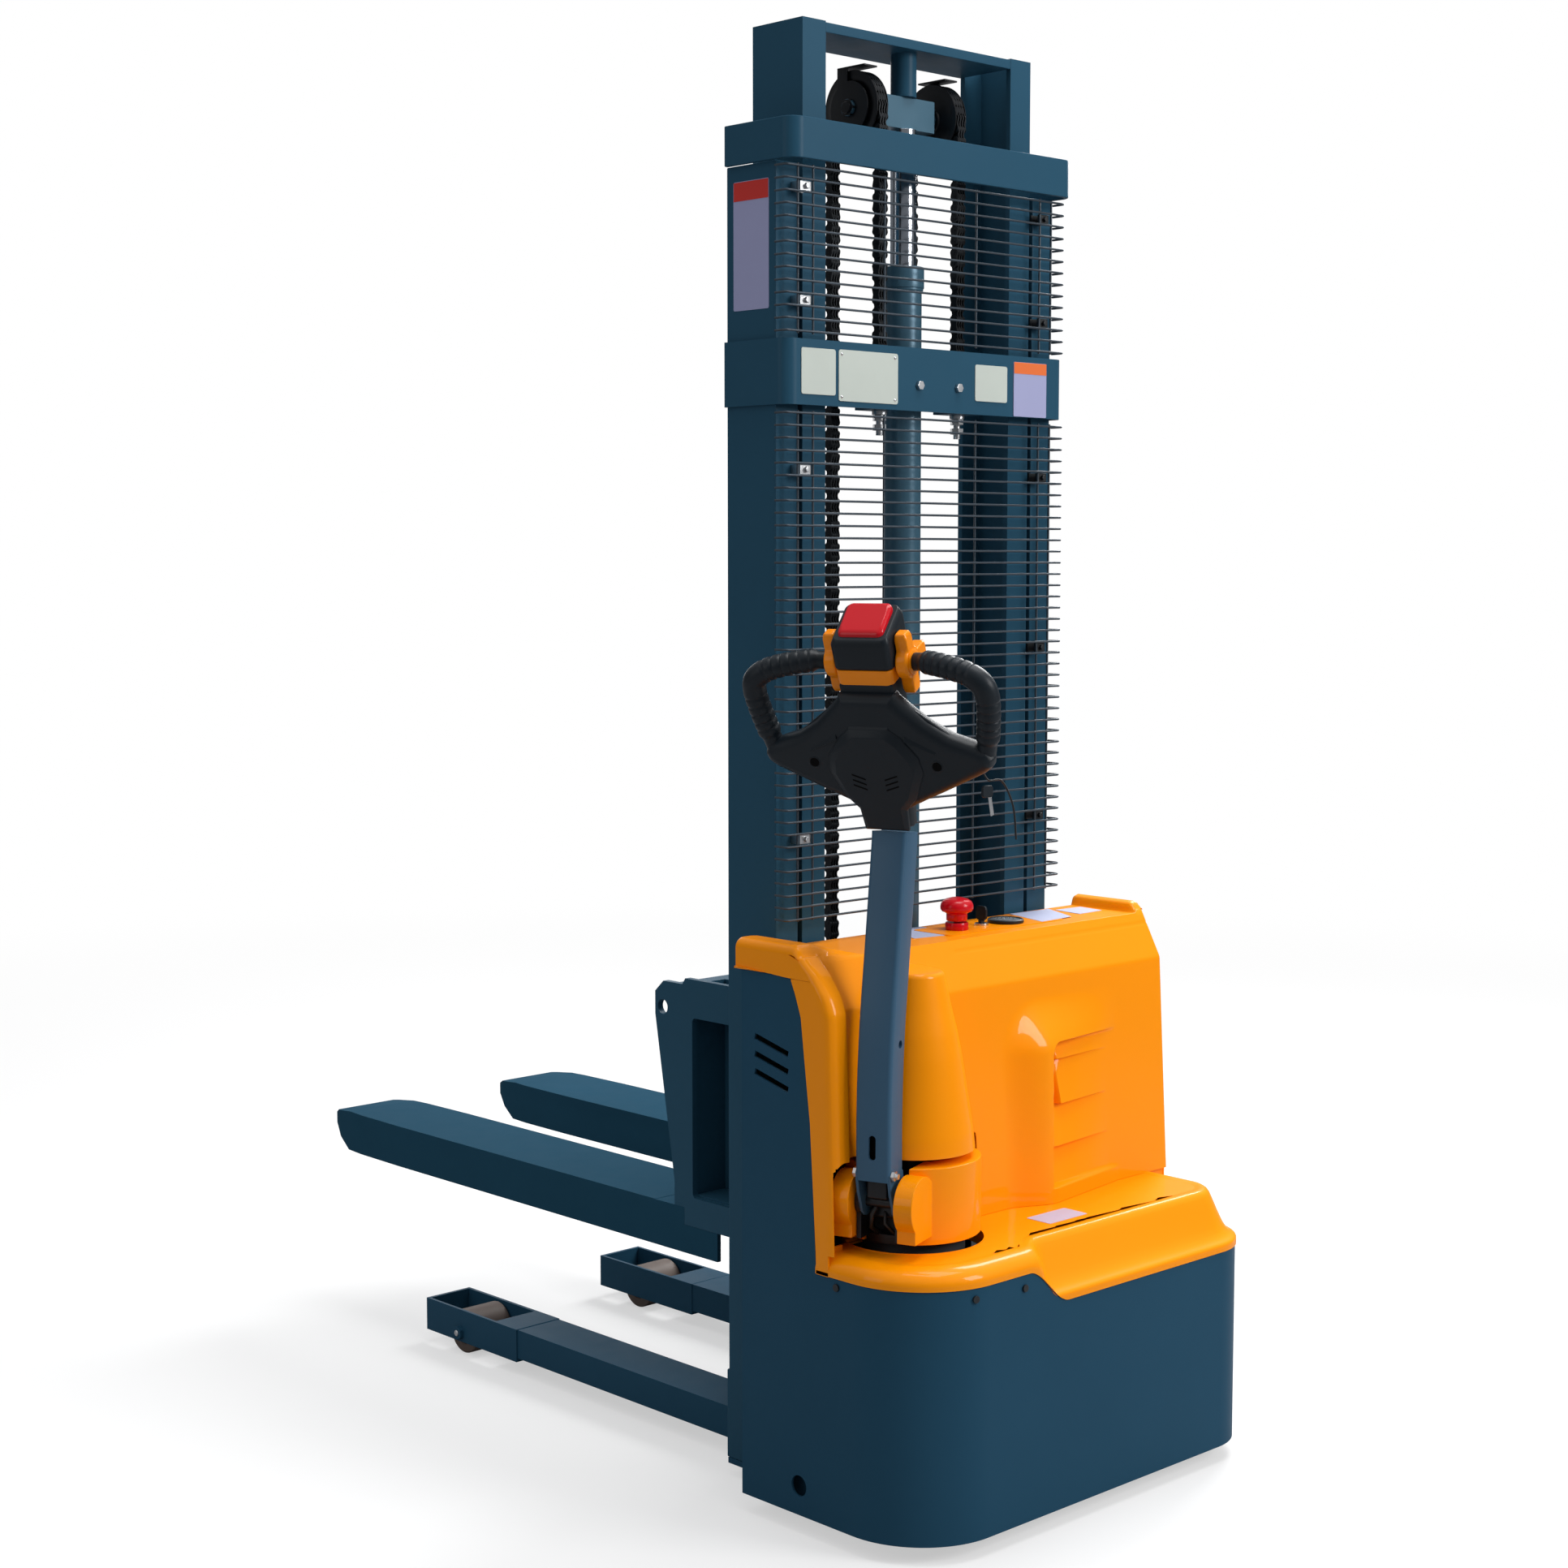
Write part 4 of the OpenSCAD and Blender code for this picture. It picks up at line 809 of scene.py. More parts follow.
# Right-hand edge profile: (distance inward, z)
RIGHT_PROFILE = [
    (0, 372.5), (0, 382), (1.3, 385.4), (4.2, 387.4), (8.5, 389.4), (13.5, 392.8),
    (18.5, 398.4), (23.5, 406.4), (28.5, 416.6), (35, 431), (43, 449.5), (47, 458.2),
    (51, 463.6), (55.5, 466.4), (60, 467.2), (64.5, 466.9), (70, 465.9), (84, 463.4)]


def deck_perimeter():
    """Stations along the deck's edge: (x, y, inward normal x, inward normal y)."""
    left_x, right_x = -COVER_X + DECK_LEFT_RADIUS, COVER_X - DECK_RIGHT_RADIUS

    def corner(x, radius, start, first):
        arc = [start + (math.pi / 2) * k / 24 for k in range(first, 25)]
        return [(x + radius * math.cos(a), -DECK_Y + radius + radius * math.sin(a),
                 -math.cos(a), -math.sin(a)) for a in arc]

    stations = [(-COVER_X, y, 1, 0)
                for y in np.linspace(-189, -DECK_Y + DECK_LEFT_RADIUS, 8)[:-1]]
    stations += corner(left_x, DECK_LEFT_RADIUS, math.pi, 0)
    stations += [(x, -DECK_Y, 0, 1) for x in (*np.linspace(left_x, -190, 10)[1:],
                                              *np.arange(-186, -70, 4.0),
                                              *np.linspace(-68, right_x, 40))]
    stations += corner(right_x, DECK_RIGHT_RADIUS, -math.pi / 2, 1)
    stations += [(COVER_X, y, -1, 0)
                 for y in np.linspace(-DECK_Y + DECK_RIGHT_RADIUS, -186, 14)[1:]]
    return stations


def left_profile(t, bottom):
    """Tall rounded skirt: (distance inward, z) at t from 0 to 1."""
    if t < 0.18:
        return 0.0, bottom + 6 * t / 0.18
    if t < 0.78:
        angle = (t - 0.18) / 0.6 * math.pi / 2
        return 34 * (1 - math.cos(angle)), bottom + 6 + (466 - bottom - 6) * math.sin(angle)
    run = (t - 0.78) / 0.22
    return 34 + 30 * run, 466 - 2.4 * run


def deck_skirt():
    """Builds the edge of the deck and returns the outline of the floor inside it."""
    lengths = [0.0]
    for (d0, z0), (d1, z1) in zip(RIGHT_PROFILE, RIGHT_PROFILE[1:]):
        lengths.append(lengths[-1] + math.hypot(d1 - d0, z1 - z0) ** 0.75)
    shares = [length / lengths[-1] for length in lengths]
    distances, heights = zip(*RIGHT_PROFILE)
    rows = []
    for x, y, normal_x, normal_y in deck_perimeter():
        bottom = 433.5 + (372.5 - 433.5) * smoothstep((x + 184) / 96.0)
        right = smoothstep((x + 160) / 50.0)
        row = []
        for k in range(PROFILE_POINTS):
            t = k / (PROFILE_POINTS - 1)
            left_d, left_z = left_profile(t, bottom)
            right_d = np.interp(t, shares, distances)
            right_z = max(np.interp(t, shares, heights), bottom)
            inward = left_d * (1 - right) + right_d * right
            z = left_z * (1 - right) + right_z * right if k else bottom
            row.append((x + normal_x * inward, y + normal_y * inward, z))
        rows.append(row)
    build("deck_skirt", Shape().grid(rows), "cover_orange", wall=3.0, smooth_deg=50,
          replaces="deck_cover")

    outline = []
    for row in rows:
        # where the profile last comes down through the floor
        k = max(k for k in range(PROFILE_POINTS) if row[k][2] > DECK_FLOOR_Z)
        (x0, y0, z0), (x1, y1, z1) = row[k], row[k + 1]
        t = (z0 - DECK_FLOOR_Z) / (z0 - z1)
        outline.append((x0 + (x1 - x0) * t, y0 + (y1 - y0) * t))
    return outline + [(outline[-1][0], -180.0), (outline[0][0], -180.0)]


deck_outline = deck_skirt()
build_plate("deck_floor", deck_outline, [circle(96, 117, DRIVE_X, DRIVE_Y)], 465.4, 4)

# rim of the hole round the drive, ending on its first column
rim = []
for k in range(97):
    angle = math.tau * k / 96
    rim.append([(DRIVE_X + 117.2 * math.cos(angle), DRIVE_Y + 117.2 * math.sin(angle), z)
                for z in (466.6, 440)])
build("deck_hole_rim", Shape().grid(rim), "cover_orange", wall=2.0)
shape = Shape().prism(rounded_rect(-27, -328, 69, -277, 3), 465.6, 466.1)
build("deck_label", shape, "label_pale")

# feet of the upper cover at both ends
shape = Shape().box((340, -206, 384), (426.5, -201, 474))
shape.box((-426.5, -206, 436), (-384, -201, 474))
build("cover_foot", shape, "cover_orange", bevel=1.0)

# ---------------------------------------------------------------- dash
STOP_X, STOP_Y = 15, -78
KEY_X, KEY_Y = 84, -72
GAUGE_X, GAUGE_Y = 140, -78

build_plate("dash_plate", rounded_rect(-45, -122, 246, -30, 8),
            [circle(32, 17.8, STOP_X, STOP_Y, NEAR_TURN),
             circle(24, 9.3, KEY_X, KEY_Y, NEAR_TURN),
             circle(40, 26.4, GAUGE_X, GAUGE_Y, NEAR_TURN)],
            922.4, 1.6, replaces="dash_panel")
shape = Shape()
shape.prism([(-108, -96), (-10, -112), (-2, -10), (-90, -8)], 921.2, 921.8)
shape.prism([(190, -118), (276, -112), (322, -20), (222, -14)], 922.3, 922.9)
shape.prism([(318, -96), (384, -92), (392, -36), (326, -32)], 921.2, 921.8)
build("dash_labels", shape, "label_pale")

# stop button: collar and mushroom
shape = Shape().lathe([(0, 880), (10.5, 880), (10.5, 920), (19, 921), (20, 922.5), (20, 933),
                       (19, 935), (6.1, 935), (6.1, 884), (0, 884)], (STOP_X, STOP_Y, 0))
build("stop_collar", shape, "red_plastic", replaces="stop_base", smooth_deg=40)
shape = Shape().lathe([(0, 896), (5.6, 896), (5.6, 938), (17.2, 938), (18, 939), (18, 950),
                       (21, 952.5), (25.5, 954), (28, 957.5), (28.4, 962), (27.4, 967),
                       (24.6, 971.5), (19, 975), (10, 977.4), (0, 978)],
                      (STOP_X, STOP_Y, 0), steps=64)
build("stop_mushroom", shape, "red_plastic", "stop_button", replaces="stop_button",
      smooth_deg=50)

# ignition key
shape = Shape().prism(rounded_rect(-12, 931, 12, 956, 7), -2.2, 2.2, "yz")
shape.box((-4, -4, 905), (4, 4, 932))
build("key_blade", shape, "black_plastic", "ignition_key", place=shifted((KEY_X, KEY_Y, 0)),
      replaces="ignition_key", bevel=1.0)

# round gauge: bezel, dial, ticks with a needle, glass
GAUGE = (GAUGE_X, GAUGE_Y, 0)
shape = Shape().lathe([(0, 895), (25, 895), (25.6, 922), (31, 922.4), (32, 924), (31.5, 928),
                       (29, 929.4), (27.5, 928.2), (26.5, 925.5), (0, 925.5)], GAUGE, steps=64)
build("gauge_bezel", shape, "black_plastic", replaces="charge_gauge", smooth_deg=40)
shape = Shape().lathe([(0, 925.9), (22, 925.9), (22, 926.3), (0, 926.3)], GAUGE)
build("gauge_dial", shape, "dial_white")
shape = Shape()
for k in range(11):
    angle = math.radians(210 - 24 * k)
    cos, sin = math.cos(angle), math.sin(angle)
    shape.prism([(GAUGE_X + cos * out - sin * aside, GAUGE_Y + sin * out + cos * aside)
                 for out, aside in ((15, 0.5), (20, 0.5), (20, -0.5), (15, -0.5))], 926.2, 926.7)
shape.prism([(139, -79), (155, -66), (141, -77)], 926.4, 927.2)
build("gauge_marks", shape, "black_steel", slot="black_plastic")
shape = Shape().lathe([(0, 929.6), (14, 929.2), (27.3, 927.6), (27.3, 927.0), (0, 928.6)], GAUGE)
build("gauge_glass", shape, "clear_glass", smooth_deg=60)

# ---------------------------------------------------------------- tiller pivot
PIVOT = (0, -118, 548)
shape = Shape()
for low, high in ((-43, -38.2), (38.2, 43)):
    shape.lathe([(0, low), (9, low), (9, high), (0, high)], PIVOT, axis="x", steps=6)
build("pivot_nuts", shape, "zinc", "drive_unit", place=drive_point, bevel=0.6)
shape = Shape()
shape.tube([(-16, -96, 491), (-20, -116, 505), (-14, -126, 528), (-6, -112, 548),
            (0, -96, 560)], 4, 8)
shape.tube([(12, -92, 491), (16, -112, 500), (8, -124, 515), (2, -110, 530)], 3.2, 8)
build("head_cables", shape, "hose_rubber", "drive_unit", place=drive_point, smooth_deg=60)

# ---------------------------------------------------------------- tiller arm
# Centre line in the drive frame: (distance behind the steering axis, z)
ARM = [(130, 588), (130.6, 620), (131, 660), (130.6, 700), (127, 760), (121.5, 820),
       (113.5, 875), (104, 930), (95.5, 986), (86, 1045), (79.5, 1090), (74, 1128)]
ARM_STATIONS = 60


def arm_path():
    """The centre line resampled by height, its bends averaged over nine stations."""
    back, height = zip(*ARM)
    z = np.interp(np.linspace(0, 1, ARM_STATIONS), np.linspace(0, 1, len(ARM)), height)
    back = np.interp(z, height, back)
    back = np.convolve(np.pad(back, 4, mode="edge"), np.ones(9) / 9, mode="valid")
    return list(zip(back, z))


def arm_tube():
    path = arm_path()
    section = rounded_rect(-30, -26, 30, 26, 7, 5)
    loops = []
    for i, (back, z) in enumerate(path):
        before, after = path[max(0, i - 1)], path[min(len(path) - 1, i + 1)]
        run, rise = after[0] - before[0], after[1] - before[1]
        length = math.hypot(run, rise)
        run, rise = run / length, rise / length
        loops.append([(x, -(back + out * rise), z - out * run) for x, out in section])
    arm = build("tiller_arm_tube", Shape().loft(loops), "tiller_paint", "tiller",
                place=drive_point, replaces="tiller_arm")

    # upright slot in the rear face, and a round hole in one side
    slot = [(6 * math.cos(a), 641 + (13.5 if math.sin(a) >= 0 else -13.5) + 6 * math.sin(a))
            for a in angles(24, NEAR_TURN)]
    cutter = Shape().prism(slot, -175, -150, "xz")
    cutter.lathe([(0, 20), (6.5, 20), (6.5, 32), (0, 32)], (0, -118, 800), axis="x", steps=24)
    carve(arm, cutter, drive_point)
    # hollow at the lower end
    bore = [(x, -(130.6 + y)) for x, y in rounded_rect(-26, -22, 26, 22, 4, 3)]
    carve(arm, Shape().prism(bore, 560, 700), drive_point)


def arm_part(name, shape, finish, **options):
    build(name, shape, finish, "tiller", place=drive_point, **options)


arm_tube()
# near-black block inside the arm, seen through the slot: painted shade
arm_part("arm_shadow_core", Shape().box((-25, -146, 612), (25, -112, 690)), "painted_shade_black")

# side plates down to the pivot: (y, z)
FORK_PLATE = [(-96, 548), (-100, 575), (-105, 600), (-155, 600), (-155, 588), (-150, 566),
              (-142, 548), (-138, 535), (-128, 526), (-118, 524), (-107, 527), (-99, 536)]
shape = Shape()
for side, _ in SIDES:
    shape.prism(FORK_PLATE, side * 24.5, side * 29.8, "yz")
arm_part("tiller_fork_plates", shape, "tiller_paint", bevel=1.4)

CLAMP_BOLT = (0, -146, 598)
shape = Shape()
shape.lathe([(0, 29.9), (8.5, 29.9), (8.5, 35.5), (5.2, 35.6), (5.2, 40.5), (0, 40.5)],
            CLAMP_BOLT, axis="x", steps=6)
shape.lathe([(0, -29.9), (8.5, -29.9), (8.5, -35.5), (0, -35.5)], CLAMP_BOLT, axis="x", steps=6)
arm_part("arm_clamp_bolt", shape, "zinc", bevel=0.5)
shape = Shape().box((-22, -112, 520), (22, -84, 560)).box((-18, -140, 556), (18, -100, 592))
arm_part("tiller_spring_box", shape, "black_steel", bevel=4, segments=3)


# ---------------------------------------------------------------- tiller head
# In the head frame the operator's side is -Y
def head_part(name, shape, finish="black_plastic", body="tiller", **options):
    build(name, shape, finish, body, place=head_point, **options)


# Right half of the body's outline: (x, z)
BODY_HALF = [(38, 12), (40, 30), (43, 48), (58, 56), (100, 76), (140, 96), (174, 113),
             (188, 124), (192, 138), (184, 152), (160, 162), (126, 174), (92, 196), (66, 220),
             (50, 236), (46, 244)]
# Stacked outlines of the body: (y, inset)
BODY_LEVELS = [(20, 16), (14, 5), (4, 0), (-8, 0), (-16, 3.5), (-21, 9), (-24, 17)]


def inset(outline, distance):
    points = [Vector(p) for p in outline]
    result = []
    for i, point in enumerate(points):
        edge_in = (point - points[i - 1]).normalized()
        edge_out = (points[(i + 1) % len(points)] - point).normalized()
        normal_in = Vector((-edge_in.y, edge_in.x))
        normal_out = Vector((-edge_out.y, edge_out.x))
        mitre = (normal_in + normal_out).normalized()
        mitre = mitre / max(0.45, mitre.dot(normal_in))
        result.append(point + mitre * distance)
    return result


body_outline = mirrored(BODY_HALF)
shape = Shape().loft([[(p.x, y, p.y) for p in inset(body_outline, distance)]
                      for y, distance in BODY_LEVELS], start=-1)
head_part("head_body", shape, bevel=2.0, smooth_deg=30, replaces="tiller_head")

# raised shield in the middle of the operator's side: right half (x, z)
shield = mirrored([(37, 13), (40, 50), (60, 72), (79, 116), (75, 144), (52, 176), (32, 192)])
crown = [(x * 0.82, 103 + (z - 103) * (0.86 if z > 40 else 0.93)) for x, z in shield]
shape = Shape().loft([[(x, -20, z) for x, z in shield], [(x, -25.2, z) for x, z in shield],
                      [(x, -33.5 if z > 40 else -29, z) for x, z in crown]], start=0)
head_part("head_shield", shape, bevel=1.2, smooth_deg=28)


def add_facet(shape, quad, back_y):
    """Four-sided facet carried straight to the plane y = back_y."""
    faces = [(0, 1, 2, 3), (7, 6, 5, 4)]
    faces += [(i, (i + 1) % 4, 4 + (i + 1) % 4, 4 + i) for i in range(4)]
    shape.add(quad + [(x, back_y, z) for x, _, z in quad], faces)


# sloping facets between the shield, the wings and the neck
shape = Shape()
add_facet(shape, [(-33, -27, 190), (33, -27, 190), (42, -3, 226), (-42, -3, 226)], 4)
for side, _ in SIDES:
    add_facet(shape, [(side * 56, -28.5, 172), (side * 104, -26.5, 150),
                      (side * 126, -7, 174), (side * 62, -4, 222)], 0)
head_part("head_facets", shape, bevel=1.6)

# slanted slits, drawn as thin near-black strips on the face: painted shade inside them
shape = Shape()
for side, _ in SIDES:
    for z in (92, 101, 110):
        shape.prism([(side * 16, z - 4), (side * 38, z + 4), (side * 38, z + 6.4),
                     (side * 16, z - 1.6)], -34, -32, "xz")
head_part("head_slit_shade", shape, "painted_shade_black")

# rims of the two screws, and near-black discs in their wells: painted shade
rims, well_shade = Shape(), Shape()
for side, _ in SIDES:
    screw = (side * 103, 0, 129)
    rims.lathe([(7.5, -23.2), (9.2, -24.6), (10.2, -24.2), (10.4, -22)], screw, axis="y",
               steps=28)
    well_shade.lathe([(0, -24.4), (7.6, -24.4), (7.6, -20), (0, -20)], screw, axis="y", steps=28)
head_part("head_screw_rims", rims, smooth_deg=60, wall=0.8)
head_part("head_screw_well_shade", well_shade, "painted_shade_black")

# orange trim along the lower edge of the wings: (x, z)
TRIM_LINE = [(44, 50), (60, 58), (100, 80), (140, 100), (170, 117)]
shape = Shape()
for side, _ in SIDES:
    shape.loft([[(side * x, -6, z - 2.5), (side * x, 20, z - 2.5), (side * x, 20, z + 6),
                 (side * x, -6, z + 3)] for x, z in TRIM_LINE])
head_part("head_trim", shape, "orange_trim", bevel=1.0)

# neck, box at the top, orange band under it, red pad on it
shape = Shape().prism([(-43, 200), (43, 200), (45, 258), (-45, 258)], -6, 42, "xz")
head_part("head_neck", shape, bevel=4, segments=3)

box_foot = rounded_rect(-45, -2, 45, 72, 9, 4)
box_wall = rounded_rect(-48.5, -6, 48.5, 76, 11, 4)
box_top = rounded_rect(-44, -1, 44, 71, 9, 4)
shape = Shape().loft([level(box_foot, 279), level(box_wall, 283),
                      level(box_wall, 320, slope=0.30, hinge=-6),
                      level(box_top, 328, slope=0.36, hinge=-6)])
head_part("head_box", shape, bevel=1.5, segments=3, smooth_deg=40)

band = rounded_rect(-46, -5.5, 46, 74, 9, 4)
shape = Shape().loft([level(rounded_rect(-42, -4.5, 42, 72, 9, 4), 254), level(band, 257),
                      level([(x * 1.02, y * 1.01) for x, y in band], 280.5)])
head_part("head_band", shape, "butterfly_orange", bevel=1.0, smooth_deg=40)

pad = rounded_rect(-38, 5, 38, 65, 9, 4)
shape = Shape().loft([
    level(pad, 300), level(pad, 331, slope=0.42, hinge=5),
    level(rounded_rect(-37, 6, 37, 64, 9, 4), 336, slope=0.42, hinge=5),
    level(rounded_rect(-33, 11, 33, 58, 9, 4), 340, slope=0.42, hinge=5)])
head_part("belly_pad", shape, "red_plastic", "belly_button", bevel=1.8, segments=3,
          smooth_deg=40, replaces="belly_button")

# Looped grips: path of the right one, and the grooves as shares of its length
GRIP_PATH = [(73.5, 30, 280), (98, 22, 283), (136, 11, 281), (168, 4, 274), (188, 0, 261),
             (194, 0, 243), (193, 0, 220), (188, 0, 190), (181, 0, 158), (173, -1, 130)]
GRIP_GROOVES = (0.11, 0.165, 0.22, 0.275, 0.33, 0.385, 0.60, 0.655, 0.71, 0.765, 0.81)
GRIP_STATIONS = 150


def grip_radius(t):
    """Sleeve with grooves, thinner at both ends."""
    radius = 14.0 + 4.6 * smoothstep((t - 0.05) / 0.05) - 3.4 * smoothstep((t - 0.84) / 0.04)
    return radius - sum(1.7 * math.exp(-((t - groove) / 0.007) ** 2) for groove in GRIP_GROOVES)


for side, side_name in SIDES:
    path = np.array(spline([(side * x, y, z) for x, y, z in GRIP_PATH], 7))
    lengths = np.r_[0, np.cumsum(np.linalg.norm(np.diff(path, axis=0), axis=1))]
    points = [[np.interp(s, lengths, path[:, k]) for k in range(3)]
              for s in np.linspace(0, lengths[-1], GRIP_STATIONS)]
    radii = [grip_radius(i / (GRIP_STATIONS - 1)) for i in range(GRIP_STATIONS)]
    head_part("grip_" + side_name, Shape().tube(points, radii, 24), smooth_deg=50)

# Throttle wheels with three lobes: (direction in degrees, fall-off, height)
WHEEL_Y, WHEEL_Z, WHEEL_RADIUS = 30, 280, 26.0
LOBES = ((90, 9, 24), (270, 9, 24), (0, 8, 29))


def butterfly_outline(scale):
    points = []
    for angle in angles(72):
        radius = WHEEL_RADIUS
        for direction, fall, height in LOBES:
            away = abs((math.degrees(angle) - direction + 180) % 360 - 180)
            lobe = height * math.exp(-(max(0, away - 11) / fall) ** 2)
            radius = max(radius, WHEEL_RADIUS + lobe)
        points.append((WHEEL_Y + radius * math.cos(angle) * scale,
                       WHEEL_Z + radius * math.sin(angle) * scale))
    return points


wheel_full, wheel_inset = butterfly_outline(1), butterfly_outline(0.90)
for side, side_name in SIDES:
    stations = ((49.5, wheel_inset), (52, wheel_full), (67, wheel_full), (70, wheel_inset))
    shape = Shape().loft([[(side * x, y, z) for y, z in outline] for x, outline in stations])
    head_part("butterfly_" + side_name, shape, "butterfly_orange", "throttle", bevel=1.5,
              segments=3, smooth_deg=50,
              replaces="throttle_butterfly" if side < 0 else None)
shape = Shape()
for side, _ in SIDES:
    shape.lathe([(20, side * 69.5), (20, side * 71), (18, side * 72), (9.4, side * 72)],
                (0, WHEEL_Y, WHEEL_Z), axis="x", steps=32)
head_part("butterfly_hubs", shape, "butterfly_orange", "throttle", smooth_deg=50, wall=1.0)

# spare key on a ring and cord at the right grip
ring = Shape().tube([(176 + 9 * math.cos(a), -2 + 18 * math.sin(a), 128 + 5 * math.cos(a))
                     for a in angles(24, NEAR_TURN)], 1.0, 6, closed=True)
shape = Shape().add([head_point(*v) for v in ring.verts], ring.faces)
cord_start = head_point(176, -20, 118)
from_start = shifted(cord_start)
shape.tube(spline([cord_start, from_start(6, -6, -10), from_start(30, -10, -12),
                   from_start(58, -8, -52), from_start(70, -4, -104)], 6), 1.6, 6)
build("key_cord", shape, "hose_rubber", "tiller", smooth_deg=60)
at_key = shifted(from_start(4, -8, -26))
shape = Shape().prism(rounded_rect(-16, -9, 6, 9, 5), -2.5, 2.5, "xz")
build("spare_key_head", shape, "black_plastic", "tiller", place=at_key, bevel=0.8)
shape = Shape().prism([(-2, -9), (4, -9), (10, -36), (4, -38)], -1, 1, "xz")
build("spare_key_blade", shape, "zinc", "tiller", place=at_key, bevel=0.3)

# ---------------------------------------------------------------- mast guards and labels
WIRE_RADIUS, WIRE_PITCH = 1.9, 20


def guard(name, bottom, top, replaces):
    """Wire mesh: bent cross wires and straight uprights."""
    shape = Shape()
    count = int((top - bottom) // WIRE_PITCH)
    for i in range(count + 1):
        z = bottom + WIRE_PITCH * i
        wire = fillet([(-338, -1, z), (-338, -28, z), (338, -28, z), (338, -1, z)], 7, 4)
        shape.tube(wire, WIRE_RADIUS, 8)
    for x in (-310, -276, -112, 112, 276, 306):
        shape.tube([(x, -24.6, bottom - 4), (x, -24.6, bottom + count * WIRE_PITCH + 4)],
                   WIRE_RADIUS, 8)
    build(name, shape, "guard_wire", smooth_deg=60, replaces=replaces)


guard("guard_mesh_upper", 1916, 2178, "guard_upper")
guard("guard_mesh_lower", 966, 1790, "guard_lower")

# blank plates, rivets and labels on the cross member, and a label on the left side
shape = Shape()
for x0, x1, z0, z1 in ((-308, -231, 1816, 1890), (-224, -86, 1808, 1891),
                       (104, 186, 1822, 1884)):
    shape.prism(rounded_rect(x0, z0, x1, z1, 4, 4), -31.4, -30.1, "xz")
build("blank_plates", shape, "plate_alu", bevel=0.4)
shape = Shape()
for x, z in ((-217, 1815), (-93, 1815), (-217, 1884), (-93, 1884)):
    shape.lathe([(0, -32.8), (1.6, -32.6), (2.8, -31.4), (2.8, -30.6)], (x, 0, z), axis="y",
                steps=16)
build("plate_rivets", shape, "zinc", smooth_deg=60)
shape = Shape().prism(rounded_rect(203, 1800, 289, 1894, 2, 3), -31.6, -30.1, "xz")
shape.prism(rounded_rect(16, 1953, 100, 2159, 3, 3), -335.5, -334.9, "yz")
build("pale_label", shape, "label_lilac")
shape = Shape().prism([(203.5, 1874), (288.5, 1874), (288.5, 1893.5), (203.5, 1893.5)],
                      -32, -31.5, "xz")
build("label_band", shape, "label_orange")
shape = Shape().prism([(17, 2128), (99, 2128), (99, 2158), (17, 2158)], -335.9, -335.4, "yz")
build("label_band_side", shape, "label_red")

# ---------------------------------------------------------------- sheaves
sheaves_low, sheaves_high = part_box("chain_sheaves")
SHEAVE_X, SHEAVE_Y = 95, 59
SHEAVE_Z = (sheaves_low.z + sheaves_high.z) * 500  # mean of metres, in mm
# Half of the grooved profile, from bore to groove: (radius, x)
SHEAVE_HALF = [(14.1, -13), (20, -13), (22, -11), (44, -10), (50, -13), (61.2, -13),
               (62, -12.4), (62, -11.6), (51, -11.2), (49, -10.4)]
sheave_profile = SHEAVE_HALF + [(r, -x) for r, x in SHEAVE_HALF[::-1]] + SHEAVE_HALF[:1]
for side, side_name in SIDES:
    shape = Shape().lathe(sheave_profile, (side * SHEAVE_X, SHEAVE_Y, SHEAVE_Z), axis="x",
                          steps=72)
    build("sheave_" + side_name, shape, "black_steel", "sheaves", smooth_deg=30,
          replaces="chain_sheaves" if side < 0 else None)

shape = Shape()
for side, _ in SIDES:
    shape.lathe([(0, side * 121), (9, side * 121), (10, side * 120), (10, side * 113.2),
                 (13.6, side * 113.2)], (0, SHEAVE_Y, SHEAVE_Z), axis="x", steps=32)
    shape.prism(circle(6, 15, SHEAVE_Y, SHEAVE_Z, NEAR_TURN), side * 113.2, side * 118.2, "yz")
build("sheave_pins", shape, "black_steel", "inner_mast", bevel=0.4)
shape = Shape()
for x in (-196, 196):
    shape.lathe([(0, 2421.5), (7, 2421), (8.6, 2419), (8.6, 2415)], (x, SHEAVE_Y, 0), steps=24)
build("top_tie_bolts", shape, "zinc", "inner_mast", smooth_deg=40)

# ---------------------------------------------------------------- leaf chains
CHAIN_PITCH = 19.05
CHAIN_RADIUS = 56.0  # pin circle over the sheave
LINK_HALF_WIDTH, LINK_THICKNESS = 8.6, 2.7
LINK_OFFSETS = ((-8.7, -2.9, 2.9, 8.7), (-5.8, 0, 5.8))  # plates of even and odd links
OVER_LINKS = 14


def add_pin(shape, x, y, z):
    shape.lathe([(0, -10.6), (3, -10.6), (3, 10.6), (0, 10.6)], (x, y, z), axis="x", steps=10)


def add_plates(shape, outline, x, index):
    for offset in LINK_OFFSETS[index % 2]:
        shape.prism(outline, x + offset - LINK_THICKNESS / 2, x + offset + LINK_THICKNESS / 2,
                    "yz")


def link_outline(y, low, high):
    """Waisted link plate between pins at the heights low and high."""
    def cap(start, z):
        arc = [start + math.pi * k / 8 for k in range(9)]
        return [(LINK_HALF_WIDTH * math.cos(a) + y, z + LINK_HALF_WIDTH * math.sin(a) * 0.8)
                for a in arc]

    waist, middle = LINK_HALF_WIDTH * 0.72, (low + high) / 2
    return cap(0, high) + [(y - waist, middle)] + cap(math.pi, low) + [(y + waist, middle)]


def straight_chain(name, x, y, bottom):
    """Chain from bottom up to the sheave axis, its pitch fitted to whole links."""
    shape = Shape()
    count = int(round((SHEAVE_Z - bottom) / CHAIN_PITCH))
    pitch = (SHEAVE_Z - bottom) / count
    for i in range(count):
        add_plates(shape, link_outline(y, bottom + i * pitch, bottom + (i + 1) * pitch), x, i)
    for i in range(count + 1):
        add_pin(shape, x, y, bottom + i * pitch)
    return build(name, shape, "chain_steel", body=None, smooth_deg=40)


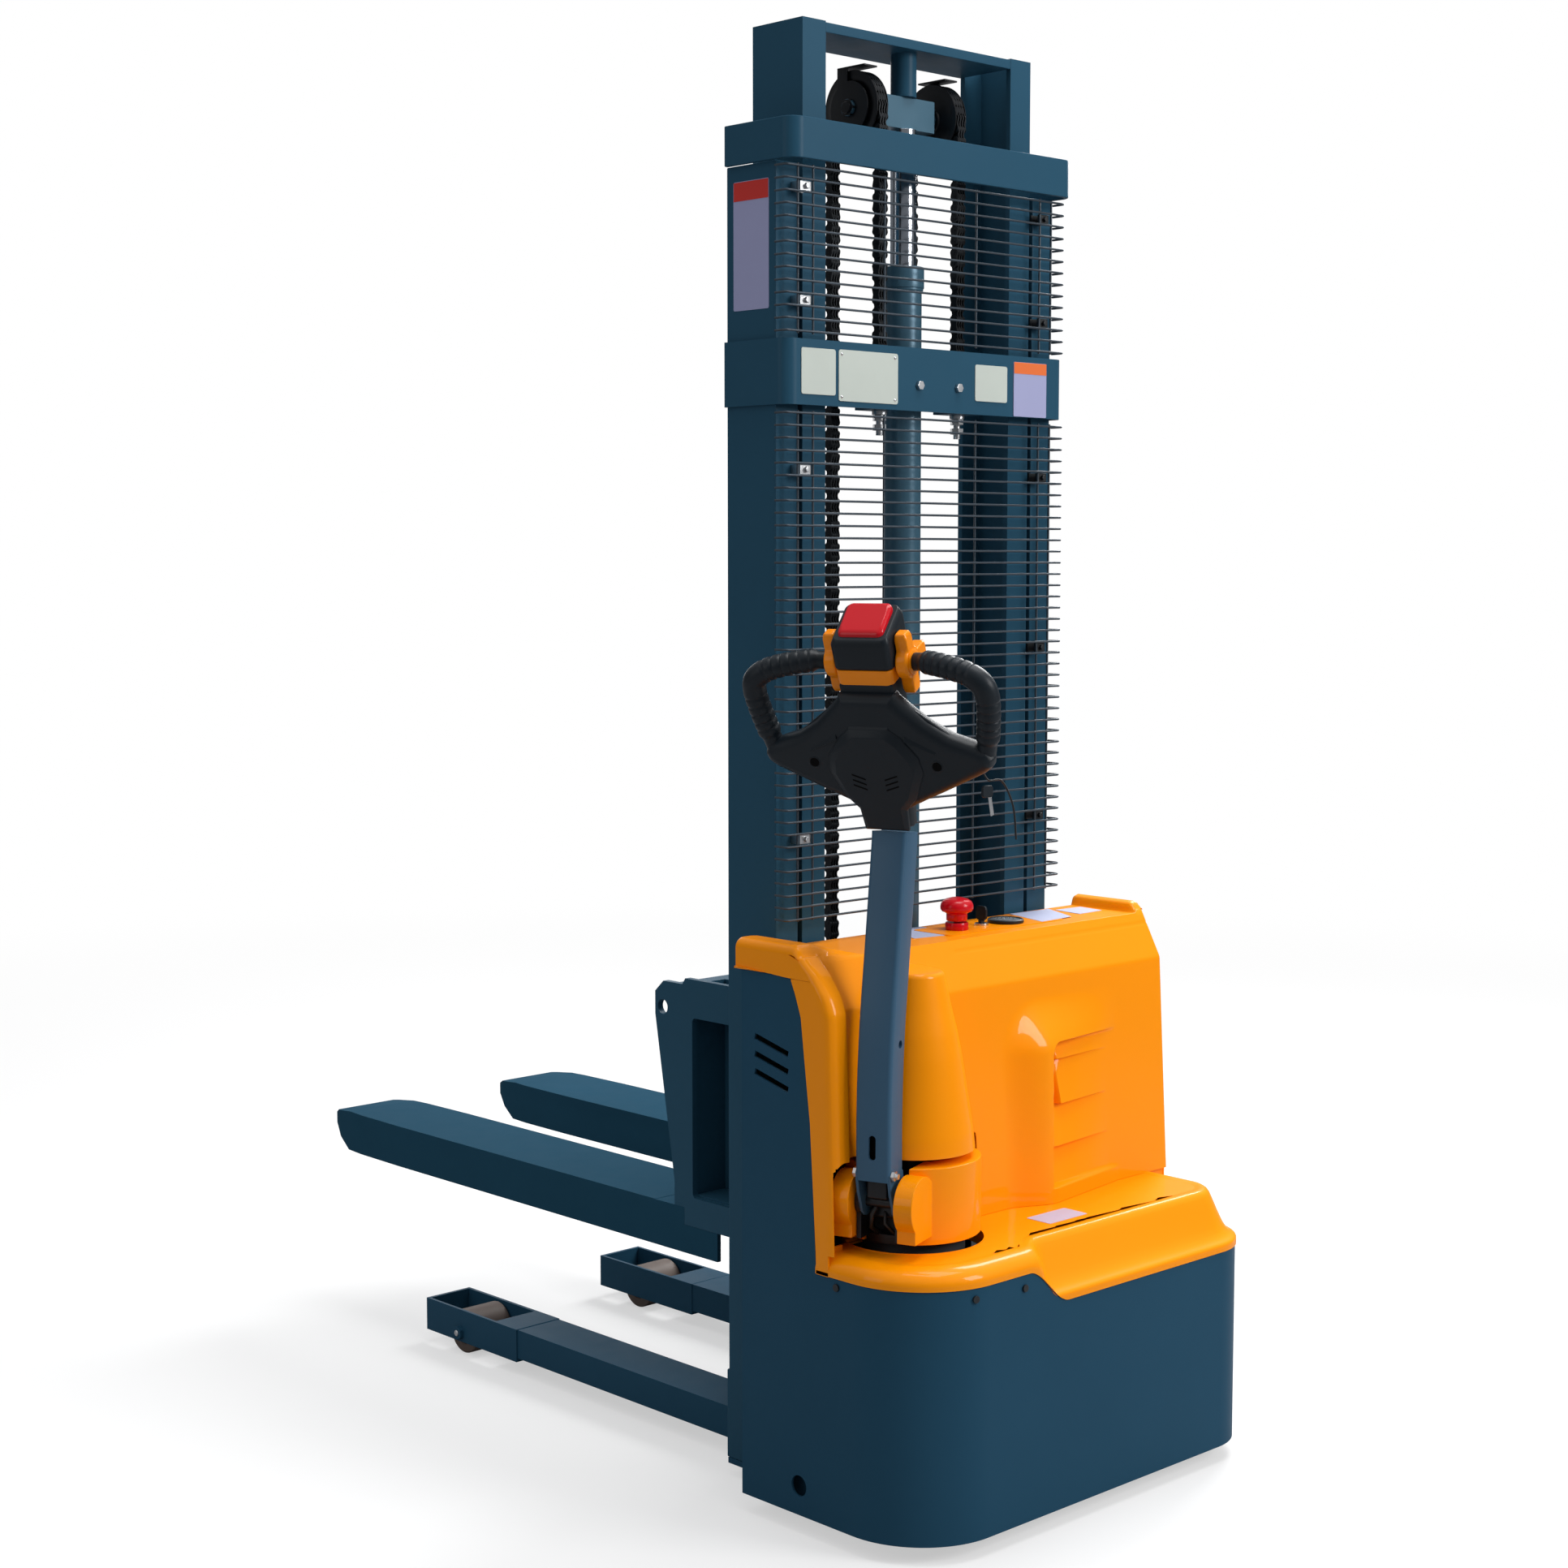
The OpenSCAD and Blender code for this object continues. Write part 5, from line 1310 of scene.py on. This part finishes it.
def chain_over_sheave(name, x):
    shape = Shape()
    step = math.pi / OVER_LINKS
    for k in range(OVER_LINKS):
        start, end = k * step, (k + 1) * step
        middle = (start + end) / 2
        corners = ((start - 0.09, -5), (start - 0.09, 5), (middle, 6),
                   (end + 0.09, 5), (end + 0.09, -5), (middle, -4.4))
        outline = [(SHEAVE_Y - (CHAIN_RADIUS + out) * math.cos(a),
                    SHEAVE_Z + (CHAIN_RADIUS + out) * math.sin(a)) for a, out in corners]
        add_plates(shape, outline, x, k)
    for k in range(OVER_LINKS + 1):
        add_pin(shape, x, SHEAVE_Y - CHAIN_RADIUS * math.cos(k * step),
                SHEAVE_Z + CHAIN_RADIUS * math.sin(k * step))
    build(name, shape, "chain_steel", "inner_mast", smooth_deg=40)


for side, side_name in SIDES:
    x = side * SHEAVE_X
    chain = straight_chain("chain_rear_" + side_name, x, SHEAVE_Y - CHAIN_RADIUS, 1830)
    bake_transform(chain)
    if side < 0:
        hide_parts("lift_chain_rear")
    chain = straight_chain("chain_front_" + side_name, x, SHEAVE_Y + CHAIN_RADIUS, 790)
    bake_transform(chain)
    if side < 0:
        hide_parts("lift_chain_front")
    chain_over_sheave("chain_over_" + side_name, x)

# ---------------------------------------------------------------- cylinder and legs
shape = Shape().lathe([(33.4, 2004), (35, 2006), (35, 2012), (34, 2013), (34, 2016), (36, 2017),
                       (36, 2040), (34, 2043.6), (23, 2046.4), (22.7, 2044)],
                      (0, 42, 0), steps=64)
build("gland_ring", shape, "cylinder_paint", slot="mast_paint", wall=1.2)
shape = Shape()
for side, _ in SIDES:
    shape.lathe([(0, side * 285), (5, side * 285), (6, side * 284), (6, side * 282)],
                (0, 970, 43), axis="x", steps=20)
build("axle_caps", shape, "zinc", smooth_deg=40)


# ---------------------------------------------------------------- stage, in metres
def floor_material():
    """Pale floor that fades to white with distance, and is grey to all but the camera."""
    mat = bpy.data.materials.new("floor_pale")
    mat.use_nodes = True
    tree = mat.node_tree
    tree.nodes.clear()
    link_nodes = tree.links.new
    output = add_node(tree, "ShaderNodeOutputMaterial")
    pale = add_node(tree, "ShaderNodeBsdfDiffuse", {"Color": (0.86, 0.86, 0.86, 1)})
    white = add_node(tree, "ShaderNodeEmission", {"Color": (1, 1, 1, 1), "Strength": 1.0})
    fade = add_node(tree, "ShaderNodeMixShader")
    position = add_node(tree, "ShaderNodeNewGeometry")
    distance = add_node(tree, "ShaderNodeVectorMath", operation="LENGTH")
    link_nodes(position.outputs["Position"], distance.inputs[0])
    amount = add_node(tree, "ShaderNodeMapRange",
                      {"From Min": 1.0, "From Max": 7.0, "To Min": 0.52, "To Max": 1.0},
                      interpolation_type="SMOOTHSTEP")
    link_nodes(distance.outputs["Value"], amount.inputs["Value"])
    link_nodes(amount.outputs["Result"], fade.inputs[0])
    link_nodes(pale.outputs[0], fade.inputs[1])
    link_nodes(white.outputs[0], fade.inputs[2])
    light_path = add_node(tree, "ShaderNodeLightPath")
    grey = add_node(tree, "ShaderNodeBsdfDiffuse", {"Color": (0.34, 0.34, 0.35, 1)})
    pick = add_node(tree, "ShaderNodeMixShader")
    link_nodes(light_path.outputs["Is Camera Ray"], pick.inputs[0])
    link_nodes(grey.outputs[0], pick.inputs[1])
    link_nodes(fade.outputs[0], pick.inputs[2])
    link_nodes(pick.outputs[0], output.inputs["Surface"])
    return mat


def stage_floor():
    """Disc of rings round a centre point."""
    sectors = 96
    radii = [*np.linspace(0.6, 5.0, 10), *np.geomspace(6, 60, 12)]
    verts = [(0, 0, 0)]
    for radius in radii:
        verts += level(circle(sectors, radius), 0)
    faces = [(0, 1 + k, 1 + (k + 1) % sectors) for k in range(sectors)]
    for i in range(len(radii) - 1):
        near, far = 1 + i * sectors, 1 + (i + 1) * sectors
        for k in range(sectors):
            after = (k + 1) % sectors
            faces.append((near + k, far + k, far + after, near + after))
    mesh = bpy.data.meshes.new("floor")
    mesh.from_pydata(verts, [], faces)
    ob = link(bpy.data.objects.new("floor", mesh))
    mesh.materials.append(floor_material())


stage_floor()

# Studio light by height: (position from straight down to straight up, colour)
SKY_ENDS = [(0.0, (0.10, 0.10, 0.11, 1)), (1.0, (1.0, 1.0, 1.0, 1))]
SKY_BETWEEN = [(0.5, (0.12, 0.13, 0.14, 1)), (0.66, (0.30, 0.31, 0.33, 1)),
               (0.85, (0.90, 0.90, 0.92, 1))]


def studio_world():
    """White to the camera, a vertical gradient to everything else."""
    world = bpy.data.worlds.new("studio")
    bpy.context.scene.world = world
    world.use_nodes = True
    tree = world.node_tree
    tree.nodes.clear()
    link_nodes = tree.links.new
    output = add_node(tree, "ShaderNodeOutputWorld")
    backdrop = add_node(tree, "ShaderNodeBackground", {"Color": (1, 1, 1, 1), "Strength": 1.0})
    sky = add_node(tree, "ShaderNodeBackground", {"Strength": 0.72})
    coords = add_node(tree, "ShaderNodeTexCoord")
    split = add_node(tree, "ShaderNodeSeparateXYZ")
    ramp = add_node(tree, "ShaderNodeValToRGB")
    stops = ramp.color_ramp.elements
    for stop, (position, color) in zip(stops, SKY_ENDS):
        stop.position = position
        stop.color = color
    for position, color in SKY_BETWEEN:
        stops.new(position).color = color
    height = add_node(tree, "ShaderNodeMapRange", {"From Min": -1, "From Max": 1})
    link_nodes(coords.outputs["Generated"], split.inputs[0])
    link_nodes(split.outputs["Z"], height.inputs["Value"])
    link_nodes(height.outputs["Result"], ramp.inputs["Fac"])
    link_nodes(ramp.outputs["Color"], sky.inputs["Color"])
    light_path = add_node(tree, "ShaderNodeLightPath")
    mix = add_node(tree, "ShaderNodeMixShader")
    link_nodes(light_path.outputs["Is Camera Ray"], mix.inputs[0])
    link_nodes(sky.outputs[0], mix.inputs[1])
    link_nodes(backdrop.outputs[0], mix.inputs[2])
    link_nodes(mix.outputs[0], output.inputs["Surface"])


studio_world()


def area_light(name, location, target, width, height, power):
    light = bpy.data.lights.new(name, "AREA")
    light.shape = "RECTANGLE"
    light.size = width
    light.size_y = height
    light.energy = power
    ob = link(bpy.data.objects.new(name, light))
    ob.location = location
    aim = Vector(target) - Vector(location)
    ob.rotation_euler = aim.to_track_quat("-Z", "Y").to_euler()


area_light("key", (2.0, -5.2, 3.4), target=(0, 0, 1.0), width=2.0, height=2.4, power=178)
area_light("fill_left", (-5.2, 0.6, 2.4), target=(0, 0, 1.0), width=2.4, height=2.4, power=22)
area_light("top", (0.3, -1.0, 5.0), target=(0, 0, 0.6), width=2.4, height=2.4, power=100)
area_light("rim_right", (3.3, 0.7, 3.7), target=(0.2, -0.3, 0.5), width=1.5, height=2.4,
           power=150)
area_light("front_fill", (2.6, 4.8, 2.6), target=(0, 0, 1.0), width=2.6, height=2.6, power=34)


# ---------------------------------------------------------------- camera
def add_camera():
    camera = bpy.data.cameras.new("camera")
    camera.lens = 57.85
    camera.sensor_width = 36
    camera.clip_start = 0.05
    camera.clip_end = 200
    ob = link(bpy.data.objects.new("camera", camera))
    forward = Vector((0.6840, 0.7242, -0.0878)).normalized()
    right = forward.cross(Vector((0, 0, 1))).normalized()
    up = right.cross(forward)
    pose = Matrix((right, up, -forward)).transposed().to_4x4()
    pose.translation = to_row(-3127.06, -2975.17, 1547.36)
    ob.matrix_world = pose
    bpy.context.scene.camera = ob


add_camera()
view = bpy.context.scene.view_settings
view.view_transform = "Standard"
view.look = "None"
view.exposure = 0.0
view.gamma = 1.0

bpy.context.view_layer.update()
